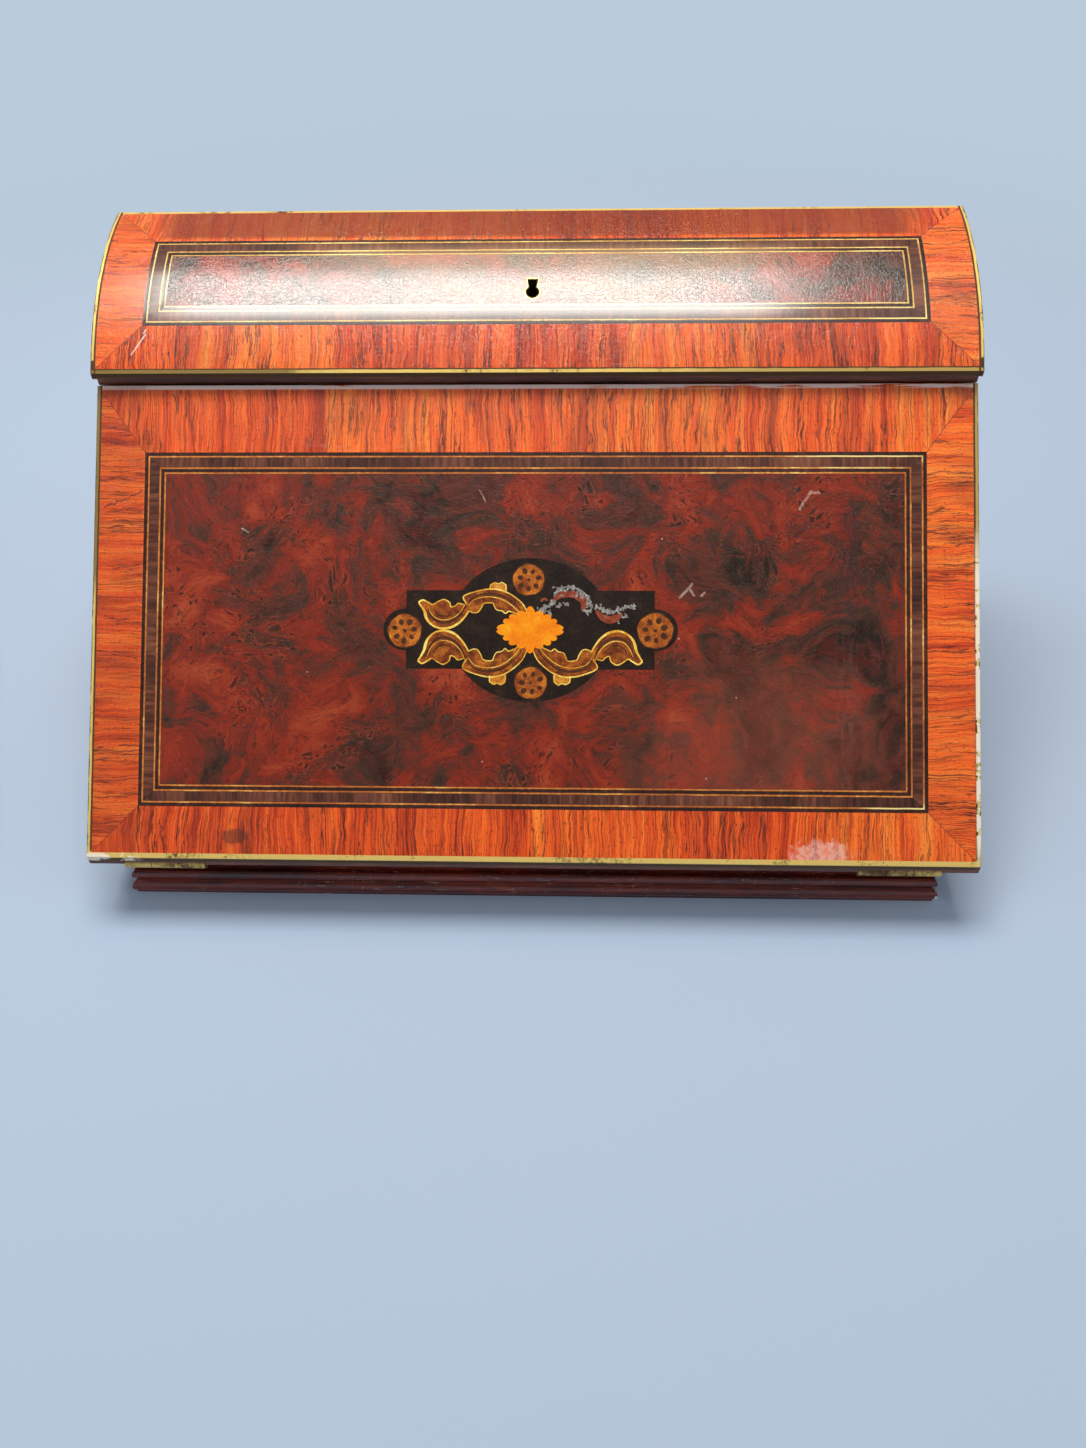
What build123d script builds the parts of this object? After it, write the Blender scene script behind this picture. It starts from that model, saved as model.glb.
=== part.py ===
from build123d import *
import math
import os

# A slope-front writing box: a domed lid hinged at the back, a sloping fall front hinged at its
# foot, a fitted interior and a recessed moulded base. Millimetres, +Z up, the front faces -Y.
# Places are first given as (back, up): back is the distance behind the fall front's lowest
# arris, up is the height above the table. The origin is under the middle of the whole box.

os.makedirs("parts", exist_ok=True)

# Case and fall front
case_width = 360.0
front_arris_height = 33.0
slope_angle = 40.9
flap_length = 194.2
flap_thickness = 9.0
flap_lip_height = 4.5
board_thickness = 9.0
back_board_thickness = 9.0
bottom_board_thickness = 8.0
base_height = 20.0
side_board_setback = 10.0

# Lid
lid_lip_overhang = 2.6
lid_lip_rise = 6.9
lid_lip_face = 2.4
lid_depth = 74.8
lid_rise = 34.1
dome_radius = 127.5
dome_thickness = 8.8

# Gaps between pieces that move and what they close on
seat_gap = 0.3
swing_gap = 1.0
running_clearance = 0.05
knuckle_gap = 0.3
barrel_relief = 0.4

# Veneers and edge brass
veneer = 0.8
edge_brass_width = 2.0
edge_brass_depth = 1.6
lip_brass_width = 1.4
lip_brass_height = 2.4
lid_lip_brass_height = 1.9
side_banding = 20.6
flap_foot_banding = 20.9
flap_head_banding = 27.9
lid_front_banding = 20.0
lid_back_banding = 21.0
dark_line = 1.35
light_line = 0.85
middle_band = 3.9
red_line = 1.2

# Cartouche let into the fall front's burr panel
ground_arm_width = 100.8
ground_arm_height = 32.0
ground_body_width = 66.0
ground_body_height = 58.4
ground_lobe_radius = 8.4
side_roundel_offset = 51.3
side_roundel_radius = 7.0
top_roundel_offset = 20.4
top_roundel_radius = 6.6
medallion_width = 24.0
medallion_height = 14.5
medallion_lobe_radius = 2.0
medallion_lobes = 14

# Lock
keyhole_polar_angle = 117.8
keyhole_eye_radius = 2.5
keyhole_neck_width = 2.8
keyhole_flare_start = 2.6
keyhole_top_width = 3.9
keyhole_slot_length = 6.0
keyhole_wall = 0.7
lock_width = 36.0
lock_front_gap = 21.7
lock_depth = 15.0
lock_floor_gap = 0.5
bolt_width = 9.0
bolt_thickness = 3.0
bolt_height = 9.0
bolt_travel = 4.5
bolt_clearance = 0.4
strike_thickness = 1.0
strike_width = 30.0
strike_depth = 9.0
block_width = 44.0
block_depth = 16.0
block_height = 14.0
block_front_height = 10.0

# Fall front hinges
flap_hinge_back = 1.6
flap_hinge_drop = 5.45
flap_knuckle_radius = 2.3
flap_pin_radius = 1.0
flap_hinge_length = 33.0
flap_hinge_offset = 149.0
flap_leaf_back = 8.3
leaf_thickness = 1.0
rail_front_back = 4.6
rail_full_back = 10.0
rail_depth = 8.4
rail_half_width = 166.0
rail_rounding = 3.0

# Lid hinges
lid_hinge_behind = 2.0
lid_knuckle_radius = 2.5
lid_pin_radius = 1.1
lid_hinge_length = 45.0
lid_hinge_offset = 105.0
lid_leaf_width = 7.5

# Screws
screw_head_radius = 1.35
screw_shank_radius = 0.7
screw_head_height = 0.8
screw_length = 5.5
screw_slot_width = 0.4
screw_slot_depth = 0.35
screw_spread = 10.0
flap_screw_back = 6.2

# Base moulding: a foot, a torus, a smaller bead above it and a plain neck behind them
base_inset = 9.0
base_front_inset = 5.0
base_frame_width = 22.0
base_foot_height = 1.2
base_foot_inset = 0.8
base_torus_height = 6.4
base_quirk_height = 0.6
base_quirk_inset = 2.6
base_bead_height = 4.8
base_bead_inset = 1.2
base_neck_inset = 4.5

# Interior fittings
shelf_depth = 47.0
shelf_top = 70.0
shelf_thickness = 4.0
bearer_width = 7.0
bearer_height = 8.0
partition_thickness = 3.0
partition_height = 24.0
partition_offset = 114.0
tray_front_gap = 3.0
tray_height = 18.0
trough_radius = 16.0
trough_end_wall = 8.0
trough_floor = 4.0
divider_thickness = 3.0
rack_depth = 45.0
divider_pitch = 15.0
divider_heights = (85.0, 103.0, 119.0)
divider_names = ("rack_divider_front", "rack_divider_middle", "rack_divider_rear")
inkwell_width = 36.0
inkwell_height = 30.0
inkwell_setback = 20.0
inkwell_bore_radius = 12.0
inkwell_floor = 5.0
inkwell_edge_radius = 3.0
collar_radius = 15.0
collar_height = 4.0
cap_height = 5.0
cap_crown = 1.5
cap_hinge_gap = 2.0
cap_knuckle_radius = 1.6
cap_pin_radius = 0.6
cap_knuckle_length = 4.0
leather_margin_side = 26.0
leather_margin_end = 20.0
leather_thickness = 0.9
inner_border_width = 8.0

# Worked out from the sizes above
half_width = case_width / 2
slope_cos = math.cos(math.radians(slope_angle))
slope_sin = math.sin(math.radians(slope_angle))
flap_top_back = flap_length * slope_cos
flap_top_up = front_arris_height + flap_length * slope_sin
lip_back = flap_top_back - lid_lip_overhang
lip_up = flap_top_up + lid_lip_rise
case_depth = lip_back + lid_depth
lid_top_up = lip_up + lid_rise
lid_seat_up = lip_up - lid_lip_face
case_top_up = lid_seat_up - seat_gap
flap_seat_up = front_arris_height - flap_lip_height
rail_top_up = flap_seat_up - seat_gap
flap_hinge_up = front_arris_height - flap_hinge_drop
lid_hinge_back = case_depth + lid_hinge_behind
lid_hinge_up = case_top_up + seat_gap / 2
inner_half_width = half_width - board_thickness
back_board_front = case_depth - back_board_thickness
divider_front_back = back_board_front - rack_depth
shelf_front_back = divider_front_back - shelf_depth
inkwell_back = shelf_front_back + inkwell_setback
front_extent = flap_hinge_back - flap_knuckle_radius
back_extent = lid_hinge_back + lid_knuckle_radius
middle_back = (front_extent + back_extent) / 2
floor_up = base_height + bottom_board_thickness

# Circle of the dome, through the lid's lip and its back arris
chord_length = math.hypot(lid_depth, lid_rise)
chord_angle = math.degrees(math.atan2(lid_rise, lid_depth))
centre_drop = math.sqrt(dome_radius**2 - (chord_length / 2) ** 2)
dome_back = lip_back + lid_depth / 2 + centre_drop * lid_rise / chord_length
dome_up = lip_up + lid_rise / 2 - centre_drop * lid_depth / chord_length
half_dome_angle = math.asin(chord_length / 2 / dome_radius)
dome_arc_length = 2 * half_dome_angle * dome_radius
inner_dome_radius = dome_radius - dome_thickness

# Local frames: X to the right, Y up the face, Z out of it
slope_place = Pos(0, -middle_back, front_arris_height) * Rot(slope_angle, 0, 0)
chord_place = Pos(0, lip_back - middle_back, lip_up) * Rot(chord_angle, 0, 0)


# Helpers


def at(back, up):
    """The (y, z) of a place given as distance behind the front arris and height."""
    return (back - middle_back, up)


def on_slope(along, out):
    """The (back, up) of a point so far up the slope and so far out of it."""
    back = along * slope_cos - out * slope_sin
    up = front_arris_height + along * slope_sin + out * slope_cos
    return (back, up)


def prism(points, x_low, x_high):
    """A solid with a (back, up) outline, from one x to another."""
    outline = make_face(Polyline(*[at(back, up) for back, up in points], close=True))
    return Pos(x_low, 0, 0) * extrude(Plane.YZ * outline, amount=x_high - x_low)


def board(x_range, back_range, up_range):
    """A plain board between two values along each axis."""
    size = [high - low for low, high in (x_range, back_range, up_range)]
    corner = (x_range[0], back_range[0] - middle_back, up_range[0])
    return Pos(*corner) * Box(*size, align=(Align.MIN, Align.MIN, Align.MIN))


def rod(radius, back, up, x_low, x_high):
    """A round bar along X."""
    section = Pos(*at(back, up)) * Circle(radius)
    return Pos(x_low, 0, 0) * extrude(Plane.YZ * section, amount=x_high - x_low)


def both_sides(solid):
    """A solid and its mirror image on the other side of the box."""
    return [solid, mirror(solid, about=Plane.YZ)]


def save(name, *pieces):
    """Write the pieces of one node as separate solids."""
    solids = []
    for piece in pieces:
        solids.extend(piece.solids())
    export_step(solids[0] if len(solids) == 1 else Compound(solids), f"parts/{name}.step")


def less(piece, *cutters):
    """A piece with other pieces taken out of it."""
    for cutter in cutters:
        piece = piece - cutter
    return piece


def screw(x, back, up, points_up):
    """A countersunk slotted wood screw with its head flush at the given height."""
    head = Cone(screw_shank_radius, screw_head_radius, screw_head_height)
    head = Pos(0, 0, -screw_head_height / 2) * head
    shank = Pos(0, 0, -screw_length / 2) * Cylinder(screw_shank_radius, screw_length)
    slot = Box(2 * screw_head_radius, screw_slot_width, screw_slot_depth)
    slot = Pos(0, 0, -screw_slot_depth / 2) * slot
    body = head + shank
    turn = Rot(180, 0, 0) if points_up else Rot(0, 0, 0)
    place = Pos(x, back - middle_back, up) * turn
    return place * (body - slot), place * body


# Butt hinges: two leaves with interleaved knuckles on a pin, all along X


def knuckle_spans(length):
    """The x ranges of three knuckles, the middle one on the moving leaf."""
    third = length / 3
    outer = [(-length / 2, -third / 2 - knuckle_gap / 2), (third / 2 + knuckle_gap / 2, length / 2)]
    inner = [(-third / 2 + knuckle_gap / 2, third / 2 - knuckle_gap / 2)]
    return outer, inner


def hinge_leaf(spans, length, pivot, radius, pin_radius, leaf_back, leaf_up):
    """One leaf: a flat plate and its knuckles, bored for the pin."""
    back, up = pivot
    back_range = (min(back, leaf_back), max(back, leaf_back))
    plate = board((-length / 2, length / 2), back_range, leaf_up)
    barrels = [rod(radius, back, up, low, high) for low, high in spans]
    others = rod(radius + knuckle_gap, back, up, -length / 2, length / 2)
    leaf = plate - others
    for barrel, (low, high) in zip(barrels, spans):
        tab = board((low, high), back_range, leaf_up)
        leaf = leaf + tab + barrel
    bore = rod(pin_radius + running_clearance, back, up, -length, length)
    return leaf - bore


# Inlaid veneers: strips of a thin layer, mitred at the corners


def mitred_strips(outer, inner):
    """Four flat trapezoids between two rectangles given as (half width, low, high)."""
    x_out, low_out, high_out = outer
    x_in, low_in, high_in = inner
    foot = [(-x_out, low_out), (x_out, low_out), (x_in, low_in), (-x_in, low_in)]
    head = [(-x_out, high_out), (x_out, high_out), (x_in, high_in), (-x_in, high_in)]
    right = [(x_out, low_out), (x_out, high_out), (x_in, high_in), (x_in, low_in)]
    left = [(-x_out, low_out), (-x_out, high_out), (-x_in, high_in), (-x_in, low_in)]
    return [make_face(Polyline(*points, close=True)) for points in (foot, head, right, left)]


def cut_layer(layer, place, flat_shape):
    """The part of a veneer layer that lies under a flat shape of its local frame."""
    reach = flap_thickness + dome_thickness
    return layer & (place * extrude(flat_shape, amount=reach, both=True))


def inlay_set(layer, place, full, first, height_of):
    """The cross-banding, the nested lines and bands, and the panel inside them."""
    steps = [
        ("dark_lines", dark_line),
        ("light_lines", light_line),
        ("middle_band", middle_band),
        ("light_lines", light_line),
        ("dark_lines", red_line),
        ("light_lines", light_line),
    ]

    def flat(rectangle):
        x_half, low, high = rectangle
        return (x_half, height_of(low), height_of(high))

    pieces = {"crossbanding": [], "dark_lines": [], "light_lines": [], "middle_band": []}
    for strip in mitred_strips(flat(full), flat(first)):
        pieces["crossbanding"].append(cut_layer(layer, place, strip))
    outer = first
    for name, width in steps:
        inner = (outer[0] - width, outer[1] + width, outer[2] - width)
        for strip in mitred_strips(flat(outer), flat(inner)):
            pieces[name].append(cut_layer(layer, place, strip))
        outer = inner
    x_half, low, high = flat(outer)
    panel = Pos(0, (low + high) / 2) * Rectangle(2 * x_half, high - low)
    pieces["burr_panel"] = [cut_layer(layer, place, panel)]
    return pieces, (low + high) / 2


# Base and case boards


def moulding_section():
    """The base moulding, outer side towards +X of a sketch whose X zero is the inner face."""
    width = base_frame_width
    foot = width - base_foot_inset
    quirk = width - base_quirk_inset
    bead = width - base_bead_inset
    neck = width - base_neck_inset
    torus_low = base_foot_height
    torus_high = torus_low + base_torus_height
    bead_low = torus_high + base_quirk_height
    bead_high = bead_low + base_bead_height
    outline = [
        Line((0, 0), (foot, 0)),
        Line((foot, 0), (foot, torus_low)),
        ThreePointArc((foot, torus_low), (width, (torus_low + torus_high) / 2), (quirk, torus_high)),
        Line((quirk, torus_high), (quirk, bead_low)),
        ThreePointArc((quirk, bead_low), (bead, (bead_low + bead_high) / 2), (quirk, bead_high)),
        Line((quirk, bead_high), (neck, bead_high)),
        Line((neck, bead_high), (neck, base_height)),
        Line((neck, base_height), (0, base_height)),
        Line((0, base_height), (0, 0)),
    ]
    return make_face(outline)


def base_mouldings():
    """Four lengths of moulding, mitred at the corners."""
    x_out = half_width - base_inset
    front = base_front_inset - middle_back
    back = case_depth - base_inset - middle_back
    width = base_frame_width
    outer = (x_out, front, back)
    inner = (x_out - width, front + width, back - width)
    names = ("base_moulding_front", "base_moulding_back", "base_moulding_right", "base_moulding_left")
    length = case_width + case_depth
    bar = Pos(0, length / 2, 0) * extrude(Plane.XZ * moulding_section(), amount=length)
    places = (
        Pos(0, front + width, 0) * Rot(0, 0, -90),
        Pos(0, back - width, 0) * Rot(0, 0, 90),
        Pos(x_out - width, 0, 0),
        Pos(width - x_out, 0, 0) * Rot(0, 0, 180),
    )
    for name, plan, place in zip(names, mitred_strips(outer, inner), places):
        save(name, (place * bar) & extrude(plan, amount=base_height))


def hinge_rail():
    """The rounded front rail that carries the fall front's hinges."""
    depth_range = (rail_front_back, rail_front_back + rail_depth)
    bead = board((-rail_half_width, rail_half_width), depth_range, (base_height, rail_top_up))
    front_edges = bead.edges().filter_by(Axis.X).sort_by(Axis.Y)[:2]
    bead = fillet(front_edges, rail_rounding)
    full_range = (rail_full_back, depth_range[1])
    return bead + board((-inner_half_width, inner_half_width), full_range, (base_height, rail_top_up))


def side_board():
    """The right-hand side board, its front edge sloping under the fall front."""
    out = -flap_thickness - seat_gap
    slope_start = out / -slope_cos
    foot_up = front_arris_height - slope_start + side_board_setback * slope_sin / slope_cos
    head_back = (case_top_up - front_arris_height + slope_start) * slope_cos / slope_sin
    points = [
        (side_board_setback, base_height),
        (side_board_setback, foot_up),
        (head_back, case_top_up),
        (case_depth, case_top_up),
        (case_depth, base_height),
    ]
    return prism(points, inner_half_width, half_width), head_back


def top_rail(head_back):
    """The fixed rail behind the fall front's upper edge, over the ends of the side boards."""
    end = flap_length + swing_gap
    rear_back, rear_up = on_slope(end, -flap_thickness - seat_gap)
    face_back, face_up = on_slope(end, -swing_gap)
    points = [(face_back, case_top_up), (face_back, face_up), (rear_back, rear_up), (head_back, case_top_up)]
    return prism(points, -half_width, half_width)


def strike_block(head_back):
    """The block behind the top rail that takes the lock's bolt."""
    low_up = case_top_up - block_height
    front_back = head_back - block_front_height * slope_cos / slope_sin
    corner_up = case_top_up - block_front_height
    points = [
        (front_back, low_up),
        (front_back, corner_up),
        (head_back, case_top_up),
        (head_back + block_depth, case_top_up),
        (head_back + block_depth, low_up),
    ]
    return prism(points, -block_width / 2, block_width / 2)


# Lid body


def lid_section(radius):
    """The lid's end view inside a circle of the dome's centre."""
    low = at(lip_back, lid_seat_up)
    high = at(case_depth, lid_top_up + lid_rise)
    size = (high[0] - low[0], high[1] - low[1])
    window = Pos(low[0], low[1]) * Rectangle(*size, align=(Align.MIN, Align.MIN))
    return window & (Pos(*at(dome_back, dome_up)) * Circle(radius))


def lid_solid(radius, x_low, x_high):
    """The lid's end view as a solid between two x values."""
    return Pos(x_low, 0, 0) * extrude(Plane.YZ * lid_section(radius), amount=x_high - x_low)


def dome_surface_up(back, radius):
    """Height of a circle of the dome at a place behind the front arris."""
    return dome_up + math.sqrt(radius**2 - (back - dome_back) ** 2)


def chord_height(arc_length):
    """Distance up the lid's chord of a point so far from the lip around the dome."""
    angle = arc_length / dome_radius - half_dome_angle
    return dome_radius * (math.sin(half_dome_angle) + math.sin(angle))


def keyhole_shape(extra):
    """A round eye with a slot above it that flares to its top, grown outwards by a wall."""
    eye = Circle(keyhole_eye_radius + extra)
    neck = keyhole_neck_width / 2 + extra
    top = keyhole_top_width / 2 + extra
    head = keyhole_slot_length + extra
    right_side = [(neck, 0), (neck, keyhole_flare_start), (top, head)]
    left_side = [(-x, height) for x, height in reversed(right_side)]
    return eye + make_face(Polyline(*right_side, *left_side, close=True))


def keyhole_solid(extra):
    """The keyhole's outline, run square through the dome."""
    angle = math.radians(keyhole_polar_angle)
    back = dome_back + dome_radius * math.cos(angle)
    up = dome_up + dome_radius * math.sin(angle)
    place = Pos(0, back - middle_back, up) * Rot(keyhole_polar_angle - 90, 0, 0)
    reach = 2 * dome_thickness
    return place * Pos(0, 0, -reach / 2) * extrude(keyhole_shape(extra), amount=reach)


# Cartouche


def cartouche_ground():
    """The dark ground: a rounded body, two arms and a lobe at each end."""
    body = Ellipse(ground_body_width / 2, ground_body_height / 2)
    shape = body + Rectangle(ground_arm_width, ground_arm_height)
    for side in (-1, 1):
        shape = shape + Pos(side * side_roundel_offset, 0) * Circle(ground_lobe_radius)
    return shape


def medallion():
    """The central oval with a lobed edge."""
    shape = Ellipse(medallion_width / 2, medallion_height / 2)
    for number in range(medallion_lobes):
        angle = 2 * math.pi * number / medallion_lobes
        x = medallion_width / 2 * math.cos(angle)
        y = medallion_height / 2 * math.sin(angle)
        shape = shape + Pos(x, y) * Circle(medallion_lobe_radius)
    return shape


def scroll():
    """The lower right scroll: a leafy bow beside the medallion, then a smaller bow outside it."""
    underside = [(1.3, -7.2), (1.3, -10.8), (5.3, -15.2), (14.1, -18.4), (21.3, -17.2), (25.7, -15.2)]
    outer_leaves = [(25.7, -12.0), (26.9, -8.8), (31.7, -10.0), (34.9, -12.0), (37.3, -10.4), (40.5, -11.6)]
    outer_back = [(44.9, -10.8), (42.9, -7.2), (40.5, -3.2), (35.7, -0.2), (30.1, -0.6), (25.3, -4.0)]
    inner_leaves = [(23.5, -8.0), (21.3, -7.2), (19.7, -8.8), (18.1, -11.2), (13.3, -10.8), (11.7, -8.4)]
    stem = [(7.7, -7.6), (5.3, -8.8)]
    outline = underside + outer_leaves + outer_back + inner_leaves + stem
    return make_face(Polyline(*outline, close=True))


def cartouche_ornaments(centre_along):
    """Medallion, four roundels and four scrolls, as flat shapes in the slope's frame."""
    lower = scroll()
    scrolls = [lower, mirror(lower, about=Plane.YZ)]
    scrolls += [mirror(piece, about=Plane.XZ) for piece in scrolls]
    oval = medallion()
    shapes = [oval] + [piece - oval for piece in scrolls]
    for side in (-1, 1):
        shapes.append(Pos(side * side_roundel_offset, 0) * Circle(side_roundel_radius))
        shapes.append(Pos(0, side * top_roundel_offset) * Circle(top_roundel_radius))
    return [Pos(0, centre_along) * shape for shape in shapes]


# Pieces of the fall front


def build_flap():
    level_end = (flap_thickness / slope_cos - flap_lip_height) * slope_cos / slope_sin
    outline = [
        (0, front_arris_height),
        (0, flap_seat_up),
        (level_end, flap_seat_up),
        on_slope(flap_length, -flap_thickness),
        on_slope(flap_length, 0),
    ]
    blank = prism(outline, -half_width, half_width)
    lip_window = board(
        (-half_width, half_width),
        (0, lip_brass_width),
        (front_arris_height - lip_brass_height, front_arris_height + lip_brass_height),
    )
    foot_brass = blank & lip_window
    side_strip = Box(edge_brass_width, flap_length, edge_brass_depth, align=(Align.MAX, Align.MIN, Align.MAX))
    side_strip = slope_place * Pos(half_width, 0, 0) * side_strip - foot_brass
    side_strip = side_strip & blank
    edging = [foot_brass] + both_sides(side_strip)
    save("flap_brass_edging", *edging)

    layer = slope_place * Box(case_width, flap_length, veneer, align=(Align.CENTER, Align.MIN, Align.MAX))
    layer = less(layer & blank, *edging)
    full = (half_width, 0, flap_length)
    first = (half_width - side_banding, flap_foot_banding, flap_length - flap_head_banding)
    pieces, centre_along = inlay_set(layer, slope_place, full, first, lambda along: along)
    ground = cut_layer(pieces["burr_panel"][0], slope_place, Pos(0, centre_along) * cartouche_ground())
    pieces["burr_panel"] = [pieces["burr_panel"][0] - ground]
    ornaments = [cut_layer(ground, slope_place, shape) for shape in cartouche_ornaments(centre_along)]
    ground = less(ground, *ornaments)
    for name, solids in pieces.items():
        save(f"flap_{name}", *solids)
    save("flap_cartouche_ground", ground)
    save("flap_cartouche_inlay", *ornaments)

    leather_length = flap_length - 2 * leather_margin_end
    leather_width = case_width - 2 * leather_margin_side
    inner_face = Pos(0, leather_margin_end + leather_length / 2, -flap_thickness)
    laid = (Align.CENTER, Align.CENTER, Align.MIN)
    leather = Box(leather_width, leather_length, leather_thickness, align=laid)
    border_size = (leather_width + 2 * inner_border_width, leather_length + 2 * inner_border_width)
    border = Box(*border_size, leather_thickness, align=laid)
    border = border - leather
    leather = slope_place * inner_face * leather
    border = slope_place * inner_face * border
    save("flap_writing_leather", leather)
    save("flap_inner_border", border)

    core = less(blank - layer, *edging)
    return less(core, leather, border)


def fit_flap_hinges(core, rail):
    """Let the two hinges into the fall front and the rail, and write leaves, pins and screws."""
    pivot = (flap_hinge_back, flap_hinge_up)
    outer, inner = knuckle_spans(flap_hinge_length)
    sizes = (flap_hinge_length, pivot, flap_knuckle_radius, flap_pin_radius, flap_leaf_back)
    rail_leaf = hinge_leaf(outer, *sizes, (rail_top_up - leaf_thickness, rail_top_up))
    flap_leaf = hinge_leaf(inner, *sizes, (flap_seat_up, flap_seat_up + leaf_thickness))
    half = flap_hinge_length / 2
    pin = rod(flap_pin_radius, *pivot, -half, half)
    relief = rod(flap_knuckle_radius + barrel_relief, *pivot, -half - knuckle_gap, half + knuckle_gap)
    rail_leaves, flap_leaves, pins, rail_screws, flap_screws = [], [], [], [], []
    for side in (-1, 1):
        shift = Pos(side * flap_hinge_offset, 0, 0)
        rail_screw_pair = [
            screw(side * flap_hinge_offset + offset, flap_screw_back, rail_top_up, False)
            for offset in (-screw_spread, screw_spread)
        ]
        flap_screw_pair = [
            screw(side * flap_hinge_offset + offset, flap_screw_back, flap_seat_up, True)
            for offset in (-screw_spread, screw_spread)
        ]
        rail_bodies = [body for _, body in rail_screw_pair]
        flap_bodies = [body for _, body in flap_screw_pair]
        rail = less(rail, shift * relief, shift * rail_leaf, *rail_bodies)
        core = less(core, shift * relief, shift * flap_leaf, *flap_bodies)
        rail_leaves.append(less(shift * rail_leaf, *rail_bodies))
        flap_leaves.append(less(shift * flap_leaf, *flap_bodies))
        rail_screws += [visible for visible, _ in rail_screw_pair]
        flap_screws += [visible for visible, _ in flap_screw_pair]
        pins.append(shift * pin)
    save("rail_hinge_leaves", *rail_leaves)
    save("flap_hinge_leaves", *flap_leaves)
    save("flap_hinge_pins", *pins)
    save("rail_hinge_screws", *rail_screws)
    save("flap_hinge_screws", *flap_screws)
    save("flap_core", core)
    save("hinge_rail", rail)


# Pieces of the lid


def build_lid():
    whole = lid_solid(dome_radius, -half_width, half_width)
    lip_up_range = (lip_up - lid_lip_brass_height, lip_up + lid_lip_brass_height)
    lip_window = board((-half_width, half_width), (lip_back, lip_back + lip_brass_width), lip_up_range)
    back_window = board(
        (-half_width, half_width),
        (case_depth - lip_brass_width, case_depth),
        (lid_top_up - edge_brass_depth, lid_top_up + edge_brass_depth),
    )
    lip_brass = whole & lip_window
    back_brass = whole & back_window
    ring = lid_solid(dome_radius, half_width - edge_brass_width, half_width)
    ring = ring - lid_solid(dome_radius - edge_brass_depth, 0, case_width)
    ring = ring & board((0, case_width), (0, case_depth), (lip_up - lid_lip_face / 2, 2 * lid_top_up))
    ring = less(ring, lip_brass, back_brass)
    edging = [lip_brass, back_brass] + both_sides(ring)
    save("lid_brass_edging", *edging)

    layer = whole - lid_solid(dome_radius - veneer, -case_width, case_width)
    layer = less(layer, *edging)
    full = (half_width, 0, dome_arc_length)
    first = (half_width - side_banding, lid_front_banding, dome_arc_length - lid_back_banding)
    pieces, _ = inlay_set(layer, chord_place, full, first, chord_height)
    lining_outer = keyhole_solid(keyhole_wall)
    shell = whole - lid_solid(inner_dome_radius, -case_width, case_width)
    lining = less(lining_outer, keyhole_solid(0)) & shell
    pieces["burr_panel"] = [pieces["burr_panel"][0] - lining_outer]
    for name, solids in pieces.items():
        save(f"lid_{name}", *solids)
    save("keyhole_lining", lining)

    dome = less(whole, layer, *edging) - lid_solid(inner_dome_radius, -case_width, case_width)
    save("lid_dome", dome - lining_outer)

    inner = lid_solid(inner_dome_radius, inner_half_width, half_width)
    end = inner & board((0, half_width), (0, back_board_front), (lid_seat_up, lid_top_up))
    for name, solid in zip(("lid_end_right", "lid_end_left"), both_sides(end)):
        save(name, solid)
    rail_window = board((-half_width, half_width), (back_board_front, case_depth), (lid_seat_up, lid_top_up))
    return lid_solid(inner_dome_radius, -half_width, half_width) & rail_window


def fit_lid_hinges(lid_rail, back_board):
    """Let the two hinges into the lid's back rail and the back board."""
    pivot = (lid_hinge_back, lid_hinge_up)
    outer, inner = knuckle_spans(lid_hinge_length)
    leaf_end = case_depth - lid_leaf_width
    sizes = (lid_hinge_length, pivot, lid_knuckle_radius, lid_pin_radius, leaf_end)
    case_leaf = hinge_leaf(outer, *sizes, (case_top_up - leaf_thickness, case_top_up))
    lid_leaf = hinge_leaf(inner, *sizes, (lid_seat_up, lid_seat_up + leaf_thickness))
    half = lid_hinge_length / 2
    pin = rod(lid_pin_radius, *pivot, -half, half)
    relief = rod(lid_knuckle_radius + barrel_relief, *pivot, -half - knuckle_gap, half + knuckle_gap)
    screw_back = case_depth - lid_leaf_width / 2
    case_leaves, lid_leaves, pins, case_screws, lid_screws = [], [], [], [], []
    for side in (-1, 1):
        middle = side * lid_hinge_offset
        shift = Pos(middle, 0, 0)
        offsets = (-1.5 * screw_spread, 0, 1.5 * screw_spread)
        case_set = [screw(middle + offset, screw_back, case_top_up, False) for offset in offsets]
        lid_set = [screw(middle + offset, screw_back, lid_seat_up, True) for offset in offsets]
        case_bodies = [body for _, body in case_set]
        lid_bodies = [body for _, body in lid_set]
        back_board = less(back_board, shift * relief, shift * case_leaf, *case_bodies)
        lid_rail = less(lid_rail, shift * relief, shift * lid_leaf, *lid_bodies)
        case_leaves.append(less(shift * case_leaf, *case_bodies))
        lid_leaves.append(less(shift * lid_leaf, *lid_bodies))
        case_screws += [visible for visible, _ in case_set]
        lid_screws += [visible for visible, _ in lid_set]
        pins.append(shift * pin)
    save("case_hinge_leaves", *case_leaves)
    save("lid_hinge_leaves", *lid_leaves)
    save("lid_hinge_pins", *pins)
    save("case_hinge_screws", *case_screws)
    save("lid_hinge_screws", *lid_screws)
    save("lid_back_rail", lid_rail)
    save("back_board", back_board)


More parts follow.
